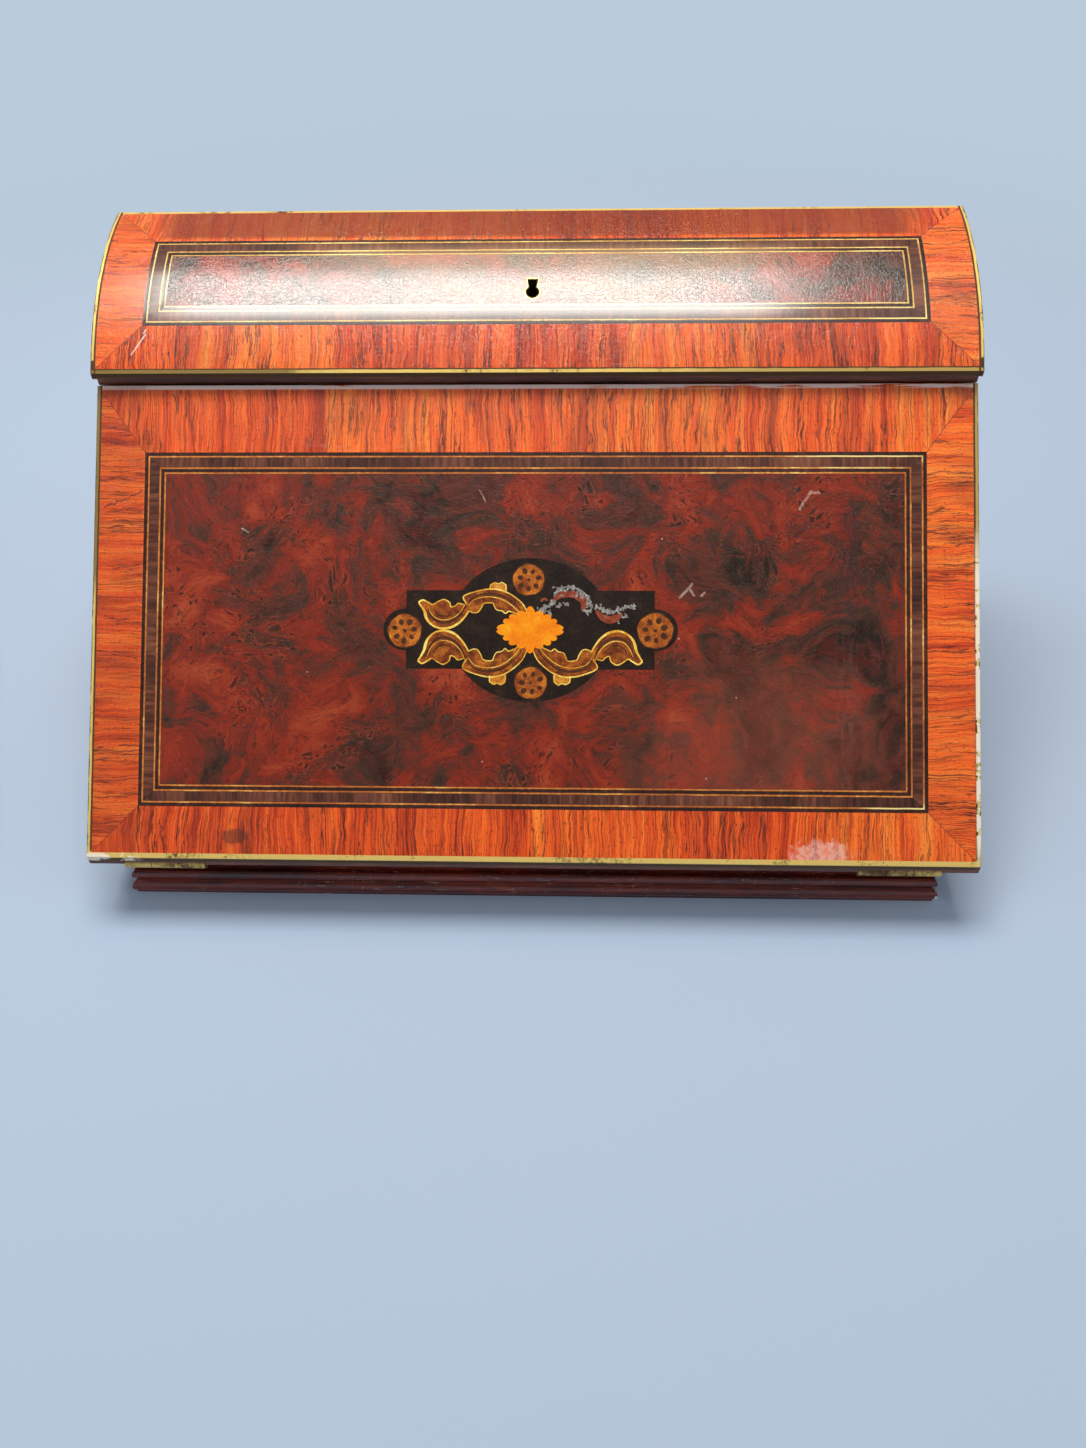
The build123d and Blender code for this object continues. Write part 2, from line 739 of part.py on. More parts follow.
def build_lock(block):
    """The lock case under the dome, its sliding bolt, and the strike in the block."""
    front = lip_back + lock_front_gap
    back = front + lock_depth
    low = lid_seat_up + lock_floor_gap
    points = [
        (front, low),
        (front, dome_surface_up(front, inner_dome_radius) - seat_gap),
        (back, dome_surface_up(back, inner_dome_radius) - seat_gap),
        (back, low),
    ]
    case = prism(points, -lock_width / 2, lock_width / 2)
    middle = (front + back) / 2
    bolt_backs = (middle - bolt_thickness / 2, middle + bolt_thickness / 2)
    bolt = board((-bolt_width / 2, bolt_width / 2), bolt_backs, (low, low + bolt_height))
    channel_x = bolt_width / 2 + running_clearance
    channel_backs = (bolt_backs[0] - running_clearance, bolt_backs[1] + running_clearance)
    channel = board((-channel_x, channel_x), channel_backs, (low, low + bolt_height + bolt_clearance))
    save("lock_case", case - channel)
    save("lock_bolt", bolt)

    mouth_x = bolt_width / 2 + bolt_clearance
    mouth_backs = (bolt_backs[0] - bolt_clearance, bolt_backs[1] + bolt_clearance)
    mouth_low = case_top_up - bolt_travel - bolt_clearance
    mouth = board((-mouth_x, mouth_x), mouth_backs, (mouth_low, case_top_up))
    plate_backs = (middle - strike_depth / 2, middle + strike_depth / 2)
    plate_ups = (case_top_up - strike_thickness, case_top_up)
    plate = board((-strike_width / 2, strike_width / 2), plate_backs, plate_ups)
    save("strike_plate", plate - mouth)
    save("strike_block", less(block, plate, mouth))


# Interior fittings


def build_shelf():
    """The shelf that carries the pen tray and the inkwells, on two bearers."""
    shelf_backs = (shelf_front_back, divider_front_back)
    shelf_low = shelf_top - shelf_thickness
    save("shelf", board((-inner_half_width, inner_half_width), shelf_backs, (shelf_low, shelf_top)))
    bearer_xs = (inner_half_width - bearer_width, inner_half_width)
    bearer = board(bearer_xs, shelf_backs, (shelf_low - bearer_height, shelf_low))
    save("shelf_bearers", *both_sides(bearer))
    partition_xs = (partition_offset, partition_offset + partition_thickness)
    partition = board(partition_xs, shelf_backs, (shelf_top, shelf_top + partition_height))
    save("tray_partitions", *both_sides(partition))


def build_pen_tray():
    """A block of wood with a round-bottomed trough for pens."""
    backs = (shelf_front_back + tray_front_gap, divider_front_back)
    top = shelf_top + tray_height
    tray = board((-partition_offset, partition_offset), backs, (shelf_top, top))
    middle = (backs[0] + backs[1]) / 2
    trough_half = partition_offset - trough_end_wall
    trough_axis_up = shelf_top + trough_floor + trough_radius
    trough = rod(trough_radius, middle, trough_axis_up, -trough_half, trough_half)
    mouth_backs = (middle - trough_radius, middle + trough_radius)
    mouth = board((-trough_half, trough_half), mouth_backs, (trough_axis_up, 2 * top))
    save("pen_tray", less(tray, trough, mouth))


def build_dividers():
    """Three upright dividers, each taller than the one in front."""
    for number, (name, height) in enumerate(zip(divider_names, divider_heights)):
        front = divider_front_back + number * divider_pitch
        backs = (front, front + divider_thickness)
        save(name, board((-inner_half_width, inner_half_width), backs, (floor_up, floor_up + height)))


def build_inkwell(side, name):
    """A square glass well with a brass collar and a hinged brass cap. Returns the cap's pin."""
    x = side * (partition_offset + partition_thickness + inner_half_width) / 2
    place = Pos(x, inkwell_back - middle_back, 0)
    low = shelf_top
    glass = Pos(0, 0, low + inkwell_height / 2) * Box(inkwell_width, inkwell_width, inkwell_height)
    glass = fillet(glass.edges().filter_by(Axis.Z), inkwell_edge_radius)
    bore_depth = inkwell_height - inkwell_floor
    bore = Pos(0, 0, low + inkwell_floor + bore_depth / 2) * Cylinder(inkwell_bore_radius, bore_depth)
    save(f"inkwell_glass_{name}", place * (glass - bore))

    collar_low = low + inkwell_height
    axis_y = collar_radius + cap_hinge_gap
    axis_up = collar_low + collar_height
    half = 1.5 * cap_knuckle_length
    turn = Plane.YZ * (Pos(axis_y, axis_up) * Circle(cap_knuckle_radius))
    lug_length = cap_knuckle_length - knuckle_gap
    lugs = [Pos(start, 0, 0) * extrude(turn, amount=lug_length) for start in (-half, half - lug_length)]
    tongue = Pos(-cap_knuckle_length / 2, 0, 0) * extrude(turn, amount=cap_knuckle_length)
    pin_section = Plane.YZ * (Pos(axis_y, axis_up) * Circle(cap_pin_radius))
    pin = Pos(-half, 0, 0) * extrude(pin_section, amount=2 * half)
    bore_section = Plane.YZ * (Pos(axis_y, axis_up) * Circle(cap_pin_radius + running_clearance))
    pin_bore = Pos(-case_width, 0, 0) * extrude(bore_section, amount=2 * case_width)

    ring = Pos(0, 0, collar_low + collar_height / 2) * Cylinder(collar_radius, collar_height)
    ring = ring - Pos(0, 0, collar_low + collar_height / 2) * Cylinder(inkwell_bore_radius, collar_height)
    arm_size = (lug_length, cap_hinge_gap + collar_radius - inkwell_bore_radius, collar_height)
    for lug, start in zip(lugs, (-half, half - lug_length)):
        arm = Box(*arm_size, align=(Align.MIN, Align.MAX, Align.MIN))
        ring = ring + Pos(start, axis_y, collar_low) * arm + lug
    relief_section = Plane.YZ * (Pos(axis_y, axis_up) * Circle(cap_knuckle_radius + knuckle_gap))
    relief_length = cap_knuckle_length + 2 * knuckle_gap
    tongue_relief = Pos(-relief_length / 2, 0, 0) * extrude(relief_section, amount=relief_length)
    save(f"inkwell_collar_{name}", place * less(ring, tongue_relief, pin_bore))

    cap_low = axis_up + seat_gap
    cap = Pos(0, 0, cap_low + cap_height / 2) * Cylinder(collar_radius, cap_height)
    cap = fillet(cap.edges().group_by(Axis.Z)[-1], cap_crown)
    arm_size = (cap_knuckle_length, cap_hinge_gap + collar_radius / 2, cap_height / 2)
    arm = Pos(0, axis_y, cap_low) * Box(*arm_size, align=(Align.CENTER, Align.MAX, Align.MIN))
    lug_relief = Pos(-case_width, 0, 0) * extrude(relief_section, amount=2 * case_width)
    cap = (cap - lug_relief) + arm + tongue
    save(f"inkwell_cap_{name}", place * (cap - pin_bore))
    return place * pin


# The whole box

base_mouldings()
right_side, side_head_back = side_board()
for board_name, solid in zip(("side_board_right", "side_board_left"), both_sides(right_side)):
    save(board_name, solid)
bottom_backs = (rail_front_back + rail_depth, back_board_front)
inner_xs = (-inner_half_width, inner_half_width)
save("bottom_board", board(inner_xs, bottom_backs, (base_height, floor_up)))
save("top_rail", top_rail(side_head_back))
fit_flap_hinges(build_flap(), hinge_rail())
fit_lid_hinges(build_lid(), board(inner_xs, (back_board_front, case_depth), (base_height, case_top_up)))
build_lock(strike_block(side_head_back))
build_shelf()
build_pen_tray()
build_dividers()
save("inkwell_pins", build_inkwell(-1, "left"), build_inkwell(1, "right"))
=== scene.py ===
import math
import random

import bmesh
import bpy
from mathutils import Matrix, Vector
from mathutils.geometry import tessellate_polygon


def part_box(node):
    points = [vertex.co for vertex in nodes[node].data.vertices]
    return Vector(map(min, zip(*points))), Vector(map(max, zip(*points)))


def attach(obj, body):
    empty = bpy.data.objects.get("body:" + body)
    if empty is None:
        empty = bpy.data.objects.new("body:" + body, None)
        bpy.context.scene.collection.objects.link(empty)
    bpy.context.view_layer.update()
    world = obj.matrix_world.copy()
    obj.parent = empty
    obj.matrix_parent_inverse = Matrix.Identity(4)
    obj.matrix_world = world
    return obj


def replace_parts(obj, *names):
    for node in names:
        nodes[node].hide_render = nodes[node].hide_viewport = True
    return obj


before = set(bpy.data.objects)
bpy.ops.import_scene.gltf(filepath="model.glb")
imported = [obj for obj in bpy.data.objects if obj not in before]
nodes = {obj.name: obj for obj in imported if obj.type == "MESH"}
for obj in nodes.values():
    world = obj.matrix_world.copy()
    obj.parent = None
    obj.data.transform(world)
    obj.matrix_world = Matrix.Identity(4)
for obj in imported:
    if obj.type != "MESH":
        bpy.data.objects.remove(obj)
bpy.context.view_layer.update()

# Sizes of the box in millimetres. Back is measured from the fall front's lowest arris.
MM = 0.001
SLOPE = math.radians(40.9)
SLOPE_COS = math.cos(SLOPE)
SLOPE_SIN = math.sin(SLOPE)
MIDDLE_BACK = 111.393
ARRIS_UP = 33.0
FLAP_LENGTH = 194.2
HALF_WIDTH = 180.0
DOME_RADIUS = 127.5
DOME_BACK = 231.664
DOME_UP = 74.208
DOME_ARC = 83.77
LIP_BACK = 144.187
LIP_UP = 167.051
FLAP_FULL = (HALF_WIDTH, 0.0, FLAP_LENGTH)
FLAP_FIRST = (159.4, 20.9, 166.3)
LID_FULL = (HALF_WIDTH, 0.0, DOME_ARC)
LID_FIRST = (159.4, 20.0, 62.77)
LIGHT_LINE_MIDDLES = (1.775, 6.525, 8.575)
# Patches of painted highlight, a yellow gleam on the light lines: centre and radii in millimetres.
PAINTED_GLEAM_PATCHES = (((132.0, 163.0), (30.0, 4.0)), ((147.0, 22.5), (15.0, 4.0)))
CARTOUCHE_ALONG = 93.6
KEYHOLE_AROUND = 34.5

# The camera: its place about the fall front's lowest arris, and its lens from the photograph's frame
CAMERA_RIGHT = 19.6
CAMERA_FRONT = 258.1
CAMERA_UP = 357.8
SENSOR = 36.0
FOCAL_PIXELS = 1088.0
PHOTO_HEIGHT = 1448.0


# Node building


class Finish:
    """One procedural material, built socket by socket. Lengths in its nodes are millimetres."""

    def __init__(
        self, name, roughness=0.4, metallic=0.0, coat=0.0, coat_roughness=0.15, shine=0.5, coat_ior=1.5,
    ):
        self.material = bpy.data.materials.new(name)
        self.material.use_nodes = True
        self.tree = self.material.node_tree
        self.tree.nodes.clear()
        self.output = self.node("ShaderNodeOutputMaterial")
        self.shader = self.node("ShaderNodeBsdfPrincipled")
        self.tree.links.new(self.shader.outputs[0], self.output.inputs[0])
        self.set("Roughness", roughness)
        self.set("Metallic", metallic)
        self.set("Specular IOR Level", shine)
        self.set("Coat Weight", coat)
        self.set("Coat Roughness", coat_roughness)
        self.set("Coat IOR", coat_ior)

    def node(self, kind, **settings):
        made = self.tree.nodes.new(kind)
        for key, value in settings.items():
            setattr(made, key, value)
        return made

    def put(self, socket, value):
        if isinstance(value, bpy.types.NodeSocket):
            self.tree.links.new(value, socket)
        elif isinstance(value, (tuple, list)) and socket.type == "RGBA":
            socket.default_value = (*value[:3], 1.0)
        else:
            socket.default_value = value

    def set(self, name, value):
        self.put(self.shader.inputs[name], value)

    def math(self, operation, a, b=0.0, c=0.0, clamp=False):
        made = self.node("ShaderNodeMath", operation=operation, use_clamp=clamp)
        for socket, value in zip(made.inputs, (a, b, c)):
            self.put(socket, value)
        return made.outputs[0]

    def add(self, a, b):
        return self.math("ADD", a, b)

    def sub(self, a, b):
        return self.math("SUBTRACT", a, b)

    def mul(self, a, b):
        return self.math("MULTIPLY", a, b)

    def least(self, a, b):
        return self.math("MINIMUM", a, b)

    def most(self, a, b):
        return self.math("MAXIMUM", a, b)

    def size(self, a):
        return self.math("ABSOLUTE", a)

    def vec(self, operation, a, b=(0, 0, 0), scale=1.0):
        made = self.node("ShaderNodeVectorMath", operation=operation)
        self.put(made.inputs[0], a)
        if operation == "SCALE":
            self.put(made.inputs[3], scale)
        else:
            self.put(made.inputs[1], b)
        return made.outputs["Value" if operation in ("DOT_PRODUCT", "LENGTH") else "Vector"]

    def combine(self, x, y, z):
        made = self.node("ShaderNodeCombineXYZ")
        for socket, value in zip(made.inputs, (x, y, z)):
            self.put(socket, value)
        return made.outputs[0]

    def split(self, vector):
        made = self.node("ShaderNodeSeparateXYZ")
        self.put(made.inputs[0], vector)
        return made.outputs[0], made.outputs[1], made.outputs[2]

    def noise(self, vector, scale=1.0, detail=4.0, roughness=0.5, distortion=0.0, colour=False):
        made = self.node("ShaderNodeTexNoise")
        for name, value in (("Vector", vector), ("Scale", scale), ("Detail", detail)):
            self.put(made.inputs[name], value)
        self.put(made.inputs["Roughness"], roughness)
        self.put(made.inputs["Distortion"], distortion)
        return made.outputs[1 if colour else 0]

    def cells(self, vector, scale=1.0, feature="F1", output=0):
        made = self.node("ShaderNodeTexVoronoi", feature=feature)
        self.put(made.inputs["Vector"], vector)
        self.put(made.inputs["Scale"], scale)
        return made.outputs[output]

    def chance(self, value):
        made = self.node("ShaderNodeTexWhiteNoise", noise_dimensions="1D")
        self.put(made.inputs["W"], value)
        return made.outputs[0]

    def smooth(self, value, low, high, start=0.0, end=1.0):
        made = self.node("ShaderNodeMapRange", interpolation_type="SMOOTHSTEP")
        for socket, number in zip(made.inputs, (value, low, high, start, end)):
            self.put(socket, number)
        return made.outputs[0]

    def ramp(self, factor, *stops):
        made = self.node("ShaderNodeValToRGB")
        elements = made.color_ramp.elements
        while len(elements) < len(stops):
            elements.new(0.5)
        for element, (place, colour) in zip(elements, stops):
            element.position = place
            element.color = (*colour, 1.0)
        self.put(made.inputs[0], factor)
        return made.outputs[0]

    def mix(self, factor, a, b, blend="MIX"):
        made = self.node("ShaderNodeMix", data_type="RGBA", blend_type=blend)
        self.put(made.inputs[0], factor)
        self.put(made.inputs[6], a)
        self.put(made.inputs[7], b)
        return made.outputs[2]

    def between(self, factor, a, b):
        made = self.node("ShaderNodeMix", data_type="FLOAT")
        self.put(made.inputs[0], factor)
        self.put(made.inputs[2], a)
        self.put(made.inputs[3], b)
        return made.outputs[0]

    def bump(self, height, distance, strength=1.0, normal=None):
        """Distance is the real height in millimetres for a height value of one."""
        made = self.node("ShaderNodeBump")
        self.put(made.inputs["Height"], height)
        self.put(made.inputs["Distance"], distance * MM)
        self.put(made.inputs["Strength"], strength)
        if normal is not None:
            self.put(made.inputs["Normal"], normal)
        return made.outputs[0]

    def place(self):
        """The point in millimetres, in the box's own frame, fixed to the piece."""
        return self.vec("SCALE", self.node("ShaderNodeTexCoord").outputs["Object"], scale=1 / MM)

    def slope(self):
        """Across, up along and out of the fall front's face."""
        start = (0, -MIDDLE_BACK, ARRIS_UP)
        point = self.vec("SUBTRACT", self.place(), start)
        across = self.vec("DOT_PRODUCT", point, (1, 0, 0))
        along = self.vec("DOT_PRODUCT", point, (0, SLOPE_COS, SLOPE_SIN))
        out = self.vec("DOT_PRODUCT", point, (0, -SLOPE_SIN, SLOPE_COS))
        return across, along, out

    def dome(self):
        """Across the lid, around it from its lip, and out of it."""
        x, y, z = self.split(self.place())
        back = self.sub(DOME_BACK - MIDDLE_BACK, y)
        up = self.sub(z, DOME_UP)
        angle = self.math("ARCTAN2", up, back)
        lip = math.atan2(LIP_UP - DOME_UP, DOME_BACK - LIP_BACK)
        around = self.mul(self.sub(angle, lip), DOME_RADIUS)
        reach = self.math("SQRT", self.add(self.mul(back, back), self.mul(up, up)))
        return x, around, self.sub(reach, DOME_RADIUS)

    def blot(self, across, along, centre, radii, ragged=0.5, scale=0.25, soft=0.35):
        """A ragged patch about a point of the face."""
        dx = self.mul(self.sub(across, centre[0]), 1 / radii[0])
        dy = self.mul(self.sub(along, centre[1]), 1 / radii[1])
        reach = self.math("SQRT", self.add(self.mul(dx, dx), self.mul(dy, dy)))
        shake = self.noise(self.combine(across, along, centre[0]), scale, 5, 0.65)
        reach = self.add(reach, self.mul(self.sub(shake, 0.5), 2 * ragged))
        return self.smooth(reach, 1 - soft, 1 + soft * 0.3, 1.0, 0.0)

    def scratch(self, across, along, start, end, width, shake=0.6):
        """A fine line between two points of the face."""
        point = self.combine(across, along, 0)
        wander = self.noise(point, 0.35, 3, 0.6, colour=True)
        wander = self.vec("SCALE", self.vec("SUBTRACT", wander, (0.5, 0.5, 0.5)), scale=2 * shake)
        point = self.vec("MULTIPLY", self.vec("ADD", point, wander), (1, 1, 0))
        run = (end[0] - start[0], end[1] - start[1], 0)
        length = run[0] ** 2 + run[1] ** 2
        offset = self.vec("SUBTRACT", point, (*start, 0))
        share = self.math("MULTIPLY", self.vec("DOT_PRODUCT", offset, run), 1 / length, clamp=True)
        nearest = self.vec("SCALE", run, scale=share)
        gap = self.vec("LENGTH", self.vec("SUBTRACT", offset, nearest))
        return self.smooth(gap, width * 0.3, width, 1.0, 0.0)

    def several(self, masks):
        """The strongest of several masks."""
        strongest = masks[0]
        for mask in masks[1:]:
            strongest = self.most(strongest, mask)
        return strongest


def dress(finish, *names):
    """Give CAD nodes a material in every slot."""
    for name in names:
        slots = nodes[name].data.materials
        slots.clear()
        slots.append(finish.material)


# Woods


def sides_and_ends(f, across, along, outer, inner):
    """Which strip of a mitred frame a point is in, and its places across and along the grain."""
    x_out, low, high = outer
    x_in, low_in, high_in = inner
    to_side = f.mul(f.sub(x_out, f.size(across)), 1 / (x_out - x_in))
    to_low = f.mul(f.sub(along, low), 1 / (low_in - low))
    to_high = f.mul(f.sub(high, along), 1 / (high - high_in))
    to_end = f.least(to_low, to_high)
    side = f.math("LESS_THAN", to_side, to_end)
    run = f.between(side, across, along)
    grain = f.between(side, along, across)
    upper = f.math("GREATER_THAN", along, (low + high) / 2)
    right = f.math("GREATER_THAN", across, 0)
    strip = f.add(f.mul(side, 5.0), f.between(side, f.mul(upper, 9.0), f.mul(right, 3.0)))
    joint = f.smooth(f.size(f.sub(to_side, to_end)), 0.006, 0.022, 1.0, 0.0)
    return side, run, grain, strip, joint


def banding(name, coords, outer, inner, seed, coat_ior, wear_and_painted_light=None):
    """Kingwood cross-banding: the grain runs square to each edge and meets at the mitres."""
    f = Finish(name, coat=1.0, coat_roughness=0.12, shine=0.10, coat_ior=coat_ior)
    across, along, out = getattr(f, coords)()
    side, run, grain, strip, joint = sides_and_ends(f, across, along, outer, inner)
    strip = f.add(strip, seed)
    slow = f.noise(f.combine(f.mul(run, 0.018), f.mul(grain, 0.03), strip), 1, 2)
    quick = f.noise(f.combine(f.mul(run, 0.12), f.mul(grain, 0.16), strip), 1, 2)
    wander = f.add(f.mul(f.sub(slow, 0.5), 6), f.mul(f.sub(quick, 0.5), 1.7))
    bent = f.add(run, wander)
    plate = f.math("FLOOR", f.add(f.mul(run, 1 / 57.0), f.mul(strip, 0.61)))
    lift = f.mul(f.sub(f.chance(f.add(plate, strip)), 0.5), 0.10)

    def streak(wide, long, shift, detail, roughness=0.6):
        point = f.combine(f.mul(bent, wide), f.mul(grain, long), f.add(strip, shift))
        return f.noise(point, 1, detail, roughness)

    broad = streak(0.13, 0.006, 20, 4, 0.66)
    fine = streak(1.25, 0.020, 40, 5, 0.78)
    tone = f.add(f.add(f.mul(broad, 0.60), f.mul(fine, 0.46)), f.sub(lift, 0.03))
    colour = f.ramp(tone, *BAND_TONES)
    vein = f.smooth(f.size(f.sub(streak(0.19, 0.010, 60, 5), 0.5)), 0.0, 0.020, 0.90, 0.0)
    vein = f.mul(vein, f.smooth(streak(0.05, 0.02, 70, 1), 0.36, 0.54))
    hair = f.smooth(streak(2.3, 0.030, 90, 3, 0.6), 0.56, 0.64, 0.0, 0.80)
    line = f.smooth(f.size(f.sub(streak(0.42, 0.006, 150, 2), 0.5)), 0.0, 0.022, 0.80, 0.0)
    line = f.mul(line, f.smooth(streak(0.10, 0.012, 170, 2), 0.46, 0.56))
    pore = f.noise(f.combine(f.mul(run, 2.2), f.mul(grain, 0.55), strip), 1, 2)
    pore = f.smooth(pore, 0.60, 0.70, 0.0, 0.85)
    smoke = f.mul(f.smooth(streak(0.06, 0.014, 120, 2), 0.56, 0.70), f.smooth(broad, 0.36, 0.56, 1.0, 0.3))
    colour = f.mix(f.mul(smoke, 0.72), colour, (0.095, 0.016, 0.008))
    colour = f.mix(hair, colour, (0.20, 0.020, 0.006))
    colour = f.mix(line, colour, (0.13, 0.014, 0.005))
    colour = f.mix(pore, colour, (0.10, 0.014, 0.006))
    colour = f.mix(vein, colour, (0.045, 0.010, 0.006))
    colour = f.mix(f.mul(joint, 0.55), colour, (0.10, 0.02, 0.012))
    grime = f.noise(f.combine(across, along, seed), 0.02, 5, 0.6)
    colour = f.mix(f.smooth(grime, 0.50, 0.78, 0.0, 0.35), colour, (0.16, 0.03, 0.015))
    rough = f.noise(f.combine(across, along, seed), 0.3, 4)
    base_rough = f.smooth(rough, 0.3, 0.7, 0.26, 0.42)
    if wear_and_painted_light:
        colour, base_rough = wear_and_painted_light(f, across, along, colour, base_rough)
    f.set("Base Color", colour)
    f.set("Roughness", base_rough)
    relief = f.add(f.mul(fine, 0.35), f.add(f.mul(pore, -0.5), f.mul(joint, -0.8)))
    swell = f.noise(f.combine(across, along, seed), 0.045, 3)
    normal = f.bump(swell, 0.25, 0.5)
    f.set("Normal", f.bump(relief, 0.05, 0.6, normal))
    polish = f.combine(across, along, seed)
    worm = f.smooth(f.size(f.sub(f.noise(polish, 0.55, 3, 0.55), 0.5)), 0.0, 0.05)
    polish = f.add(f.mul(worm, 0.6), f.noise(polish, 1.1, 3, 0.6))
    f.set("Coat Normal", f.bump(polish, 0.060, 0.9, normal))
    return f


def burr(name, coords, seed, coat, coat_ior, crackle_depth, wear_and_painted_light=None):
    """Burr veneer: dark clouds, swirling red figure and clusters of small eyes."""
    f = Finish(name, coat=coat, coat_roughness=0.15, shine=0.08, coat_ior=coat_ior)
    across, along, out = getattr(f, coords)()
    flat = f.combine(across, along, seed)

    def shifted(vector, scale, reach, detail=2):
        shake = f.noise(vector, scale, detail, 0.5, colour=True)
        return f.vec("SCALE", f.vec("SUBTRACT", shake, (0.5, 0.5, 0.5)), scale=reach)

    warped = f.vec("ADD", flat, shifted(flat, 0.020, 58))
    warped = f.vec("ADD", warped, shifted(warped, 0.06, 17))
    curled = f.vec("ADD", warped, shifted(warped, 0.17, 7.5, 3))
    tight = f.vec("ADD", curled, shifted(curled, 0.5, 2.4, 3))
    cloud = f.noise(warped, 0.032, 3, 0.5)
    figure = f.noise(curled, 0.10, 6, 0.64)
    feather = f.noise(f.vec("MULTIPLY", tight, (0.30, 1.3, 1.0)), 0.55, 5, 0.72)
    tone = f.add(f.add(f.mul(cloud, 0.66), f.mul(figure, 0.34)), f.sub(f.mul(feather, 0.20), 0.06))
    colour = f.ramp(
        tone,
        (0.425, (0.020, 0.010, 0.007)),
        (0.490, (0.050, 0.023, 0.015)),
        (0.530, (0.082, 0.025, 0.015)),
        (0.562, (0.155, 0.020, 0.010)),
        (0.622, (0.245, 0.025, 0.010)),
        (0.740, (0.370, 0.060, 0.020)),
    )
    flame = f.smooth(f.size(f.sub(f.noise(curled, 0.060, 5, 0.6), 0.5)), 0.0, 0.10, 1.0, 0.0)
    colour = f.mix(f.mul(flame, 0.16), colour, (0.36, 0.030, 0.012))
    cluster = f.smooth(f.noise(flat, 0.036, 3), 0.50, 0.60)
    chosen = f.smooth(f.split(f.cells(curled, 0.36, output=1))[0], 0.45, 0.55)
    reach = f.cells(curled, 0.36)
    pip = f.mul(f.mul(f.smooth(reach, 0.24, 0.44, 1.0, 0.0), chosen), cluster)
    ring = f.mul(f.smooth(reach, 0.38, 0.46), f.smooth(reach, 0.48, 0.62, 1.0, 0.0))
    colour = f.mix(f.mul(f.mul(f.mul(ring, chosen), cluster), 0.35), colour, (0.42, 0.070, 0.025))
    colour = f.mix(f.mul(pip, 0.85), colour, (0.028, 0.012, 0.008))
    fleck = f.smooth(feather, 0.36, 0.46, 0.60, 0.0)
    colour = f.mix(fleck, colour, (0.040, 0.014, 0.009))
    speck = f.smooth(f.cells(flat, 0.085), 0.022, 0.032, 0.85, 0.0)
    colour = f.mix(speck, colour, (0.62, 0.46, 0.38))
    rough = f.smooth(f.noise(flat, 0.2, 4), 0.3, 0.7, 0.24, 0.42)
    if wear_and_painted_light:
        colour, rough = wear_and_painted_light(f, across, along, colour, rough)
    f.set("Base Color", colour)
    f.set("Roughness", rough)
    swell = f.noise(flat, 0.035, 3)
    normal = f.bump(swell, 0.3, 0.5)
    f.set("Normal", f.bump(figure, 0.06, 0.5, normal))
    crackle = f.cells(f.vec("ADD", flat, shifted(flat, 0.5, 2.0)), 0.42, "DISTANCE_TO_EDGE")
    crackle = f.smooth(crackle, 0.0, 0.08)
    worm = f.smooth(f.size(f.sub(f.noise(flat, 0.55, 3, 0.55), 0.5)), 0.0, 0.05)
    dimple = f.add(f.mul(crackle, 0.5), f.add(f.mul(worm, 0.7), f.noise(flat, 1.1, 4, 0.6)))
    f.set("Coat Normal", f.bump(dimple, crackle_depth, 0.9, normal))
    return f


def narrow_band(name, coords, outer, seed, coat_ior):
    """The dark cross-banded strip between the light lines."""
    f = Finish(name, coat=1.0, coat_roughness=0.16, shine=0.10, coat_ior=coat_ior)
    across, along, out = getattr(f, coords)()
    inner = (outer[0] - 10, outer[1] + 10, outer[2] - 10)
    side, run, grain, strip, joint = sides_and_ends(f, across, along, outer, inner)
    strip = f.add(strip, seed)
    streak = f.noise(f.combine(f.mul(run, 0.55), f.mul(grain, 0.05), strip), 1, 4, 0.65)
    broad = f.noise(f.combine(f.mul(run, 0.05), f.mul(grain, 0.02), strip), 1, 2)
    tone = f.add(f.mul(streak, 0.55), f.mul(broad, 0.45))
    colour = f.ramp(
        tone,
        (0.36, (0.030, 0.012, 0.009)),
        (0.48, (0.085, 0.026, 0.016)),
        (0.60, (0.19, 0.062, 0.033)),
        (0.72, (0.33, 0.12, 0.06)),
    )
    f.set("Base Color", f.mix(f.mul(joint, 0.6), colour, (0.02, 0.01, 0.008)))
    f.set("Roughness", f.smooth(streak, 0.3, 0.7, 0.28, 0.45))
    f.set("Normal", f.bump(streak, 0.04, 0.6))
    return f


def stringing(name, coords, outer, light, tones, coat_ior):
    """Fine inlaid lines: a narrow core with darker glue beside it, worn and dirty in places."""
    f = Finish(name, coat=1.0, coat_roughness=0.16, shine=0.10, coat_ior=coat_ior)
    across, along, out = getattr(f, coords)()
    point = f.combine(across, along, 0.0)
    worn = f.noise(point, 0.030, 4, 0.6)
    fine = f.noise(point, 0.6, 3)
    colour = f.ramp(f.add(f.mul(worn, 0.70), f.mul(fine, 0.30)), *tones)
    if light:
        x_out, low, high = outer
        inset = f.least(f.sub(x_out, f.size(across)), f.least(f.sub(along, low), f.sub(high, along)))
        inset = f.add(inset, f.mul(f.sub(f.noise(point, 0.12, 2), 0.5), 0.25))
        middles = [f.size(f.sub(inset, middle)) for middle in LIGHT_LINE_MIDDLES]
        reach = f.least(middles[0], f.least(middles[1], middles[2]))
        # Painted highlight: a pale yellow gleam painted onto the light lines in a few patches.
        painted_gleam = f.several([f.blot(across, along, *patch) for patch in PAINTED_GLEAM_PATCHES])
        colour = f.mix(f.mul(painted_gleam, 0.85), colour, (0.97, 0.80, 0.30))
        colour = f.mix(f.smooth(reach, 0.22, 0.36), colour, (0.12, 0.032, 0.012))
    f.set("Base Color", colour)
    f.set("Roughness", f.smooth(fine, 0.3, 0.7, 0.22, 0.45))
    f.set("Normal", f.bump(fine, 0.05, 0.6))
    return f


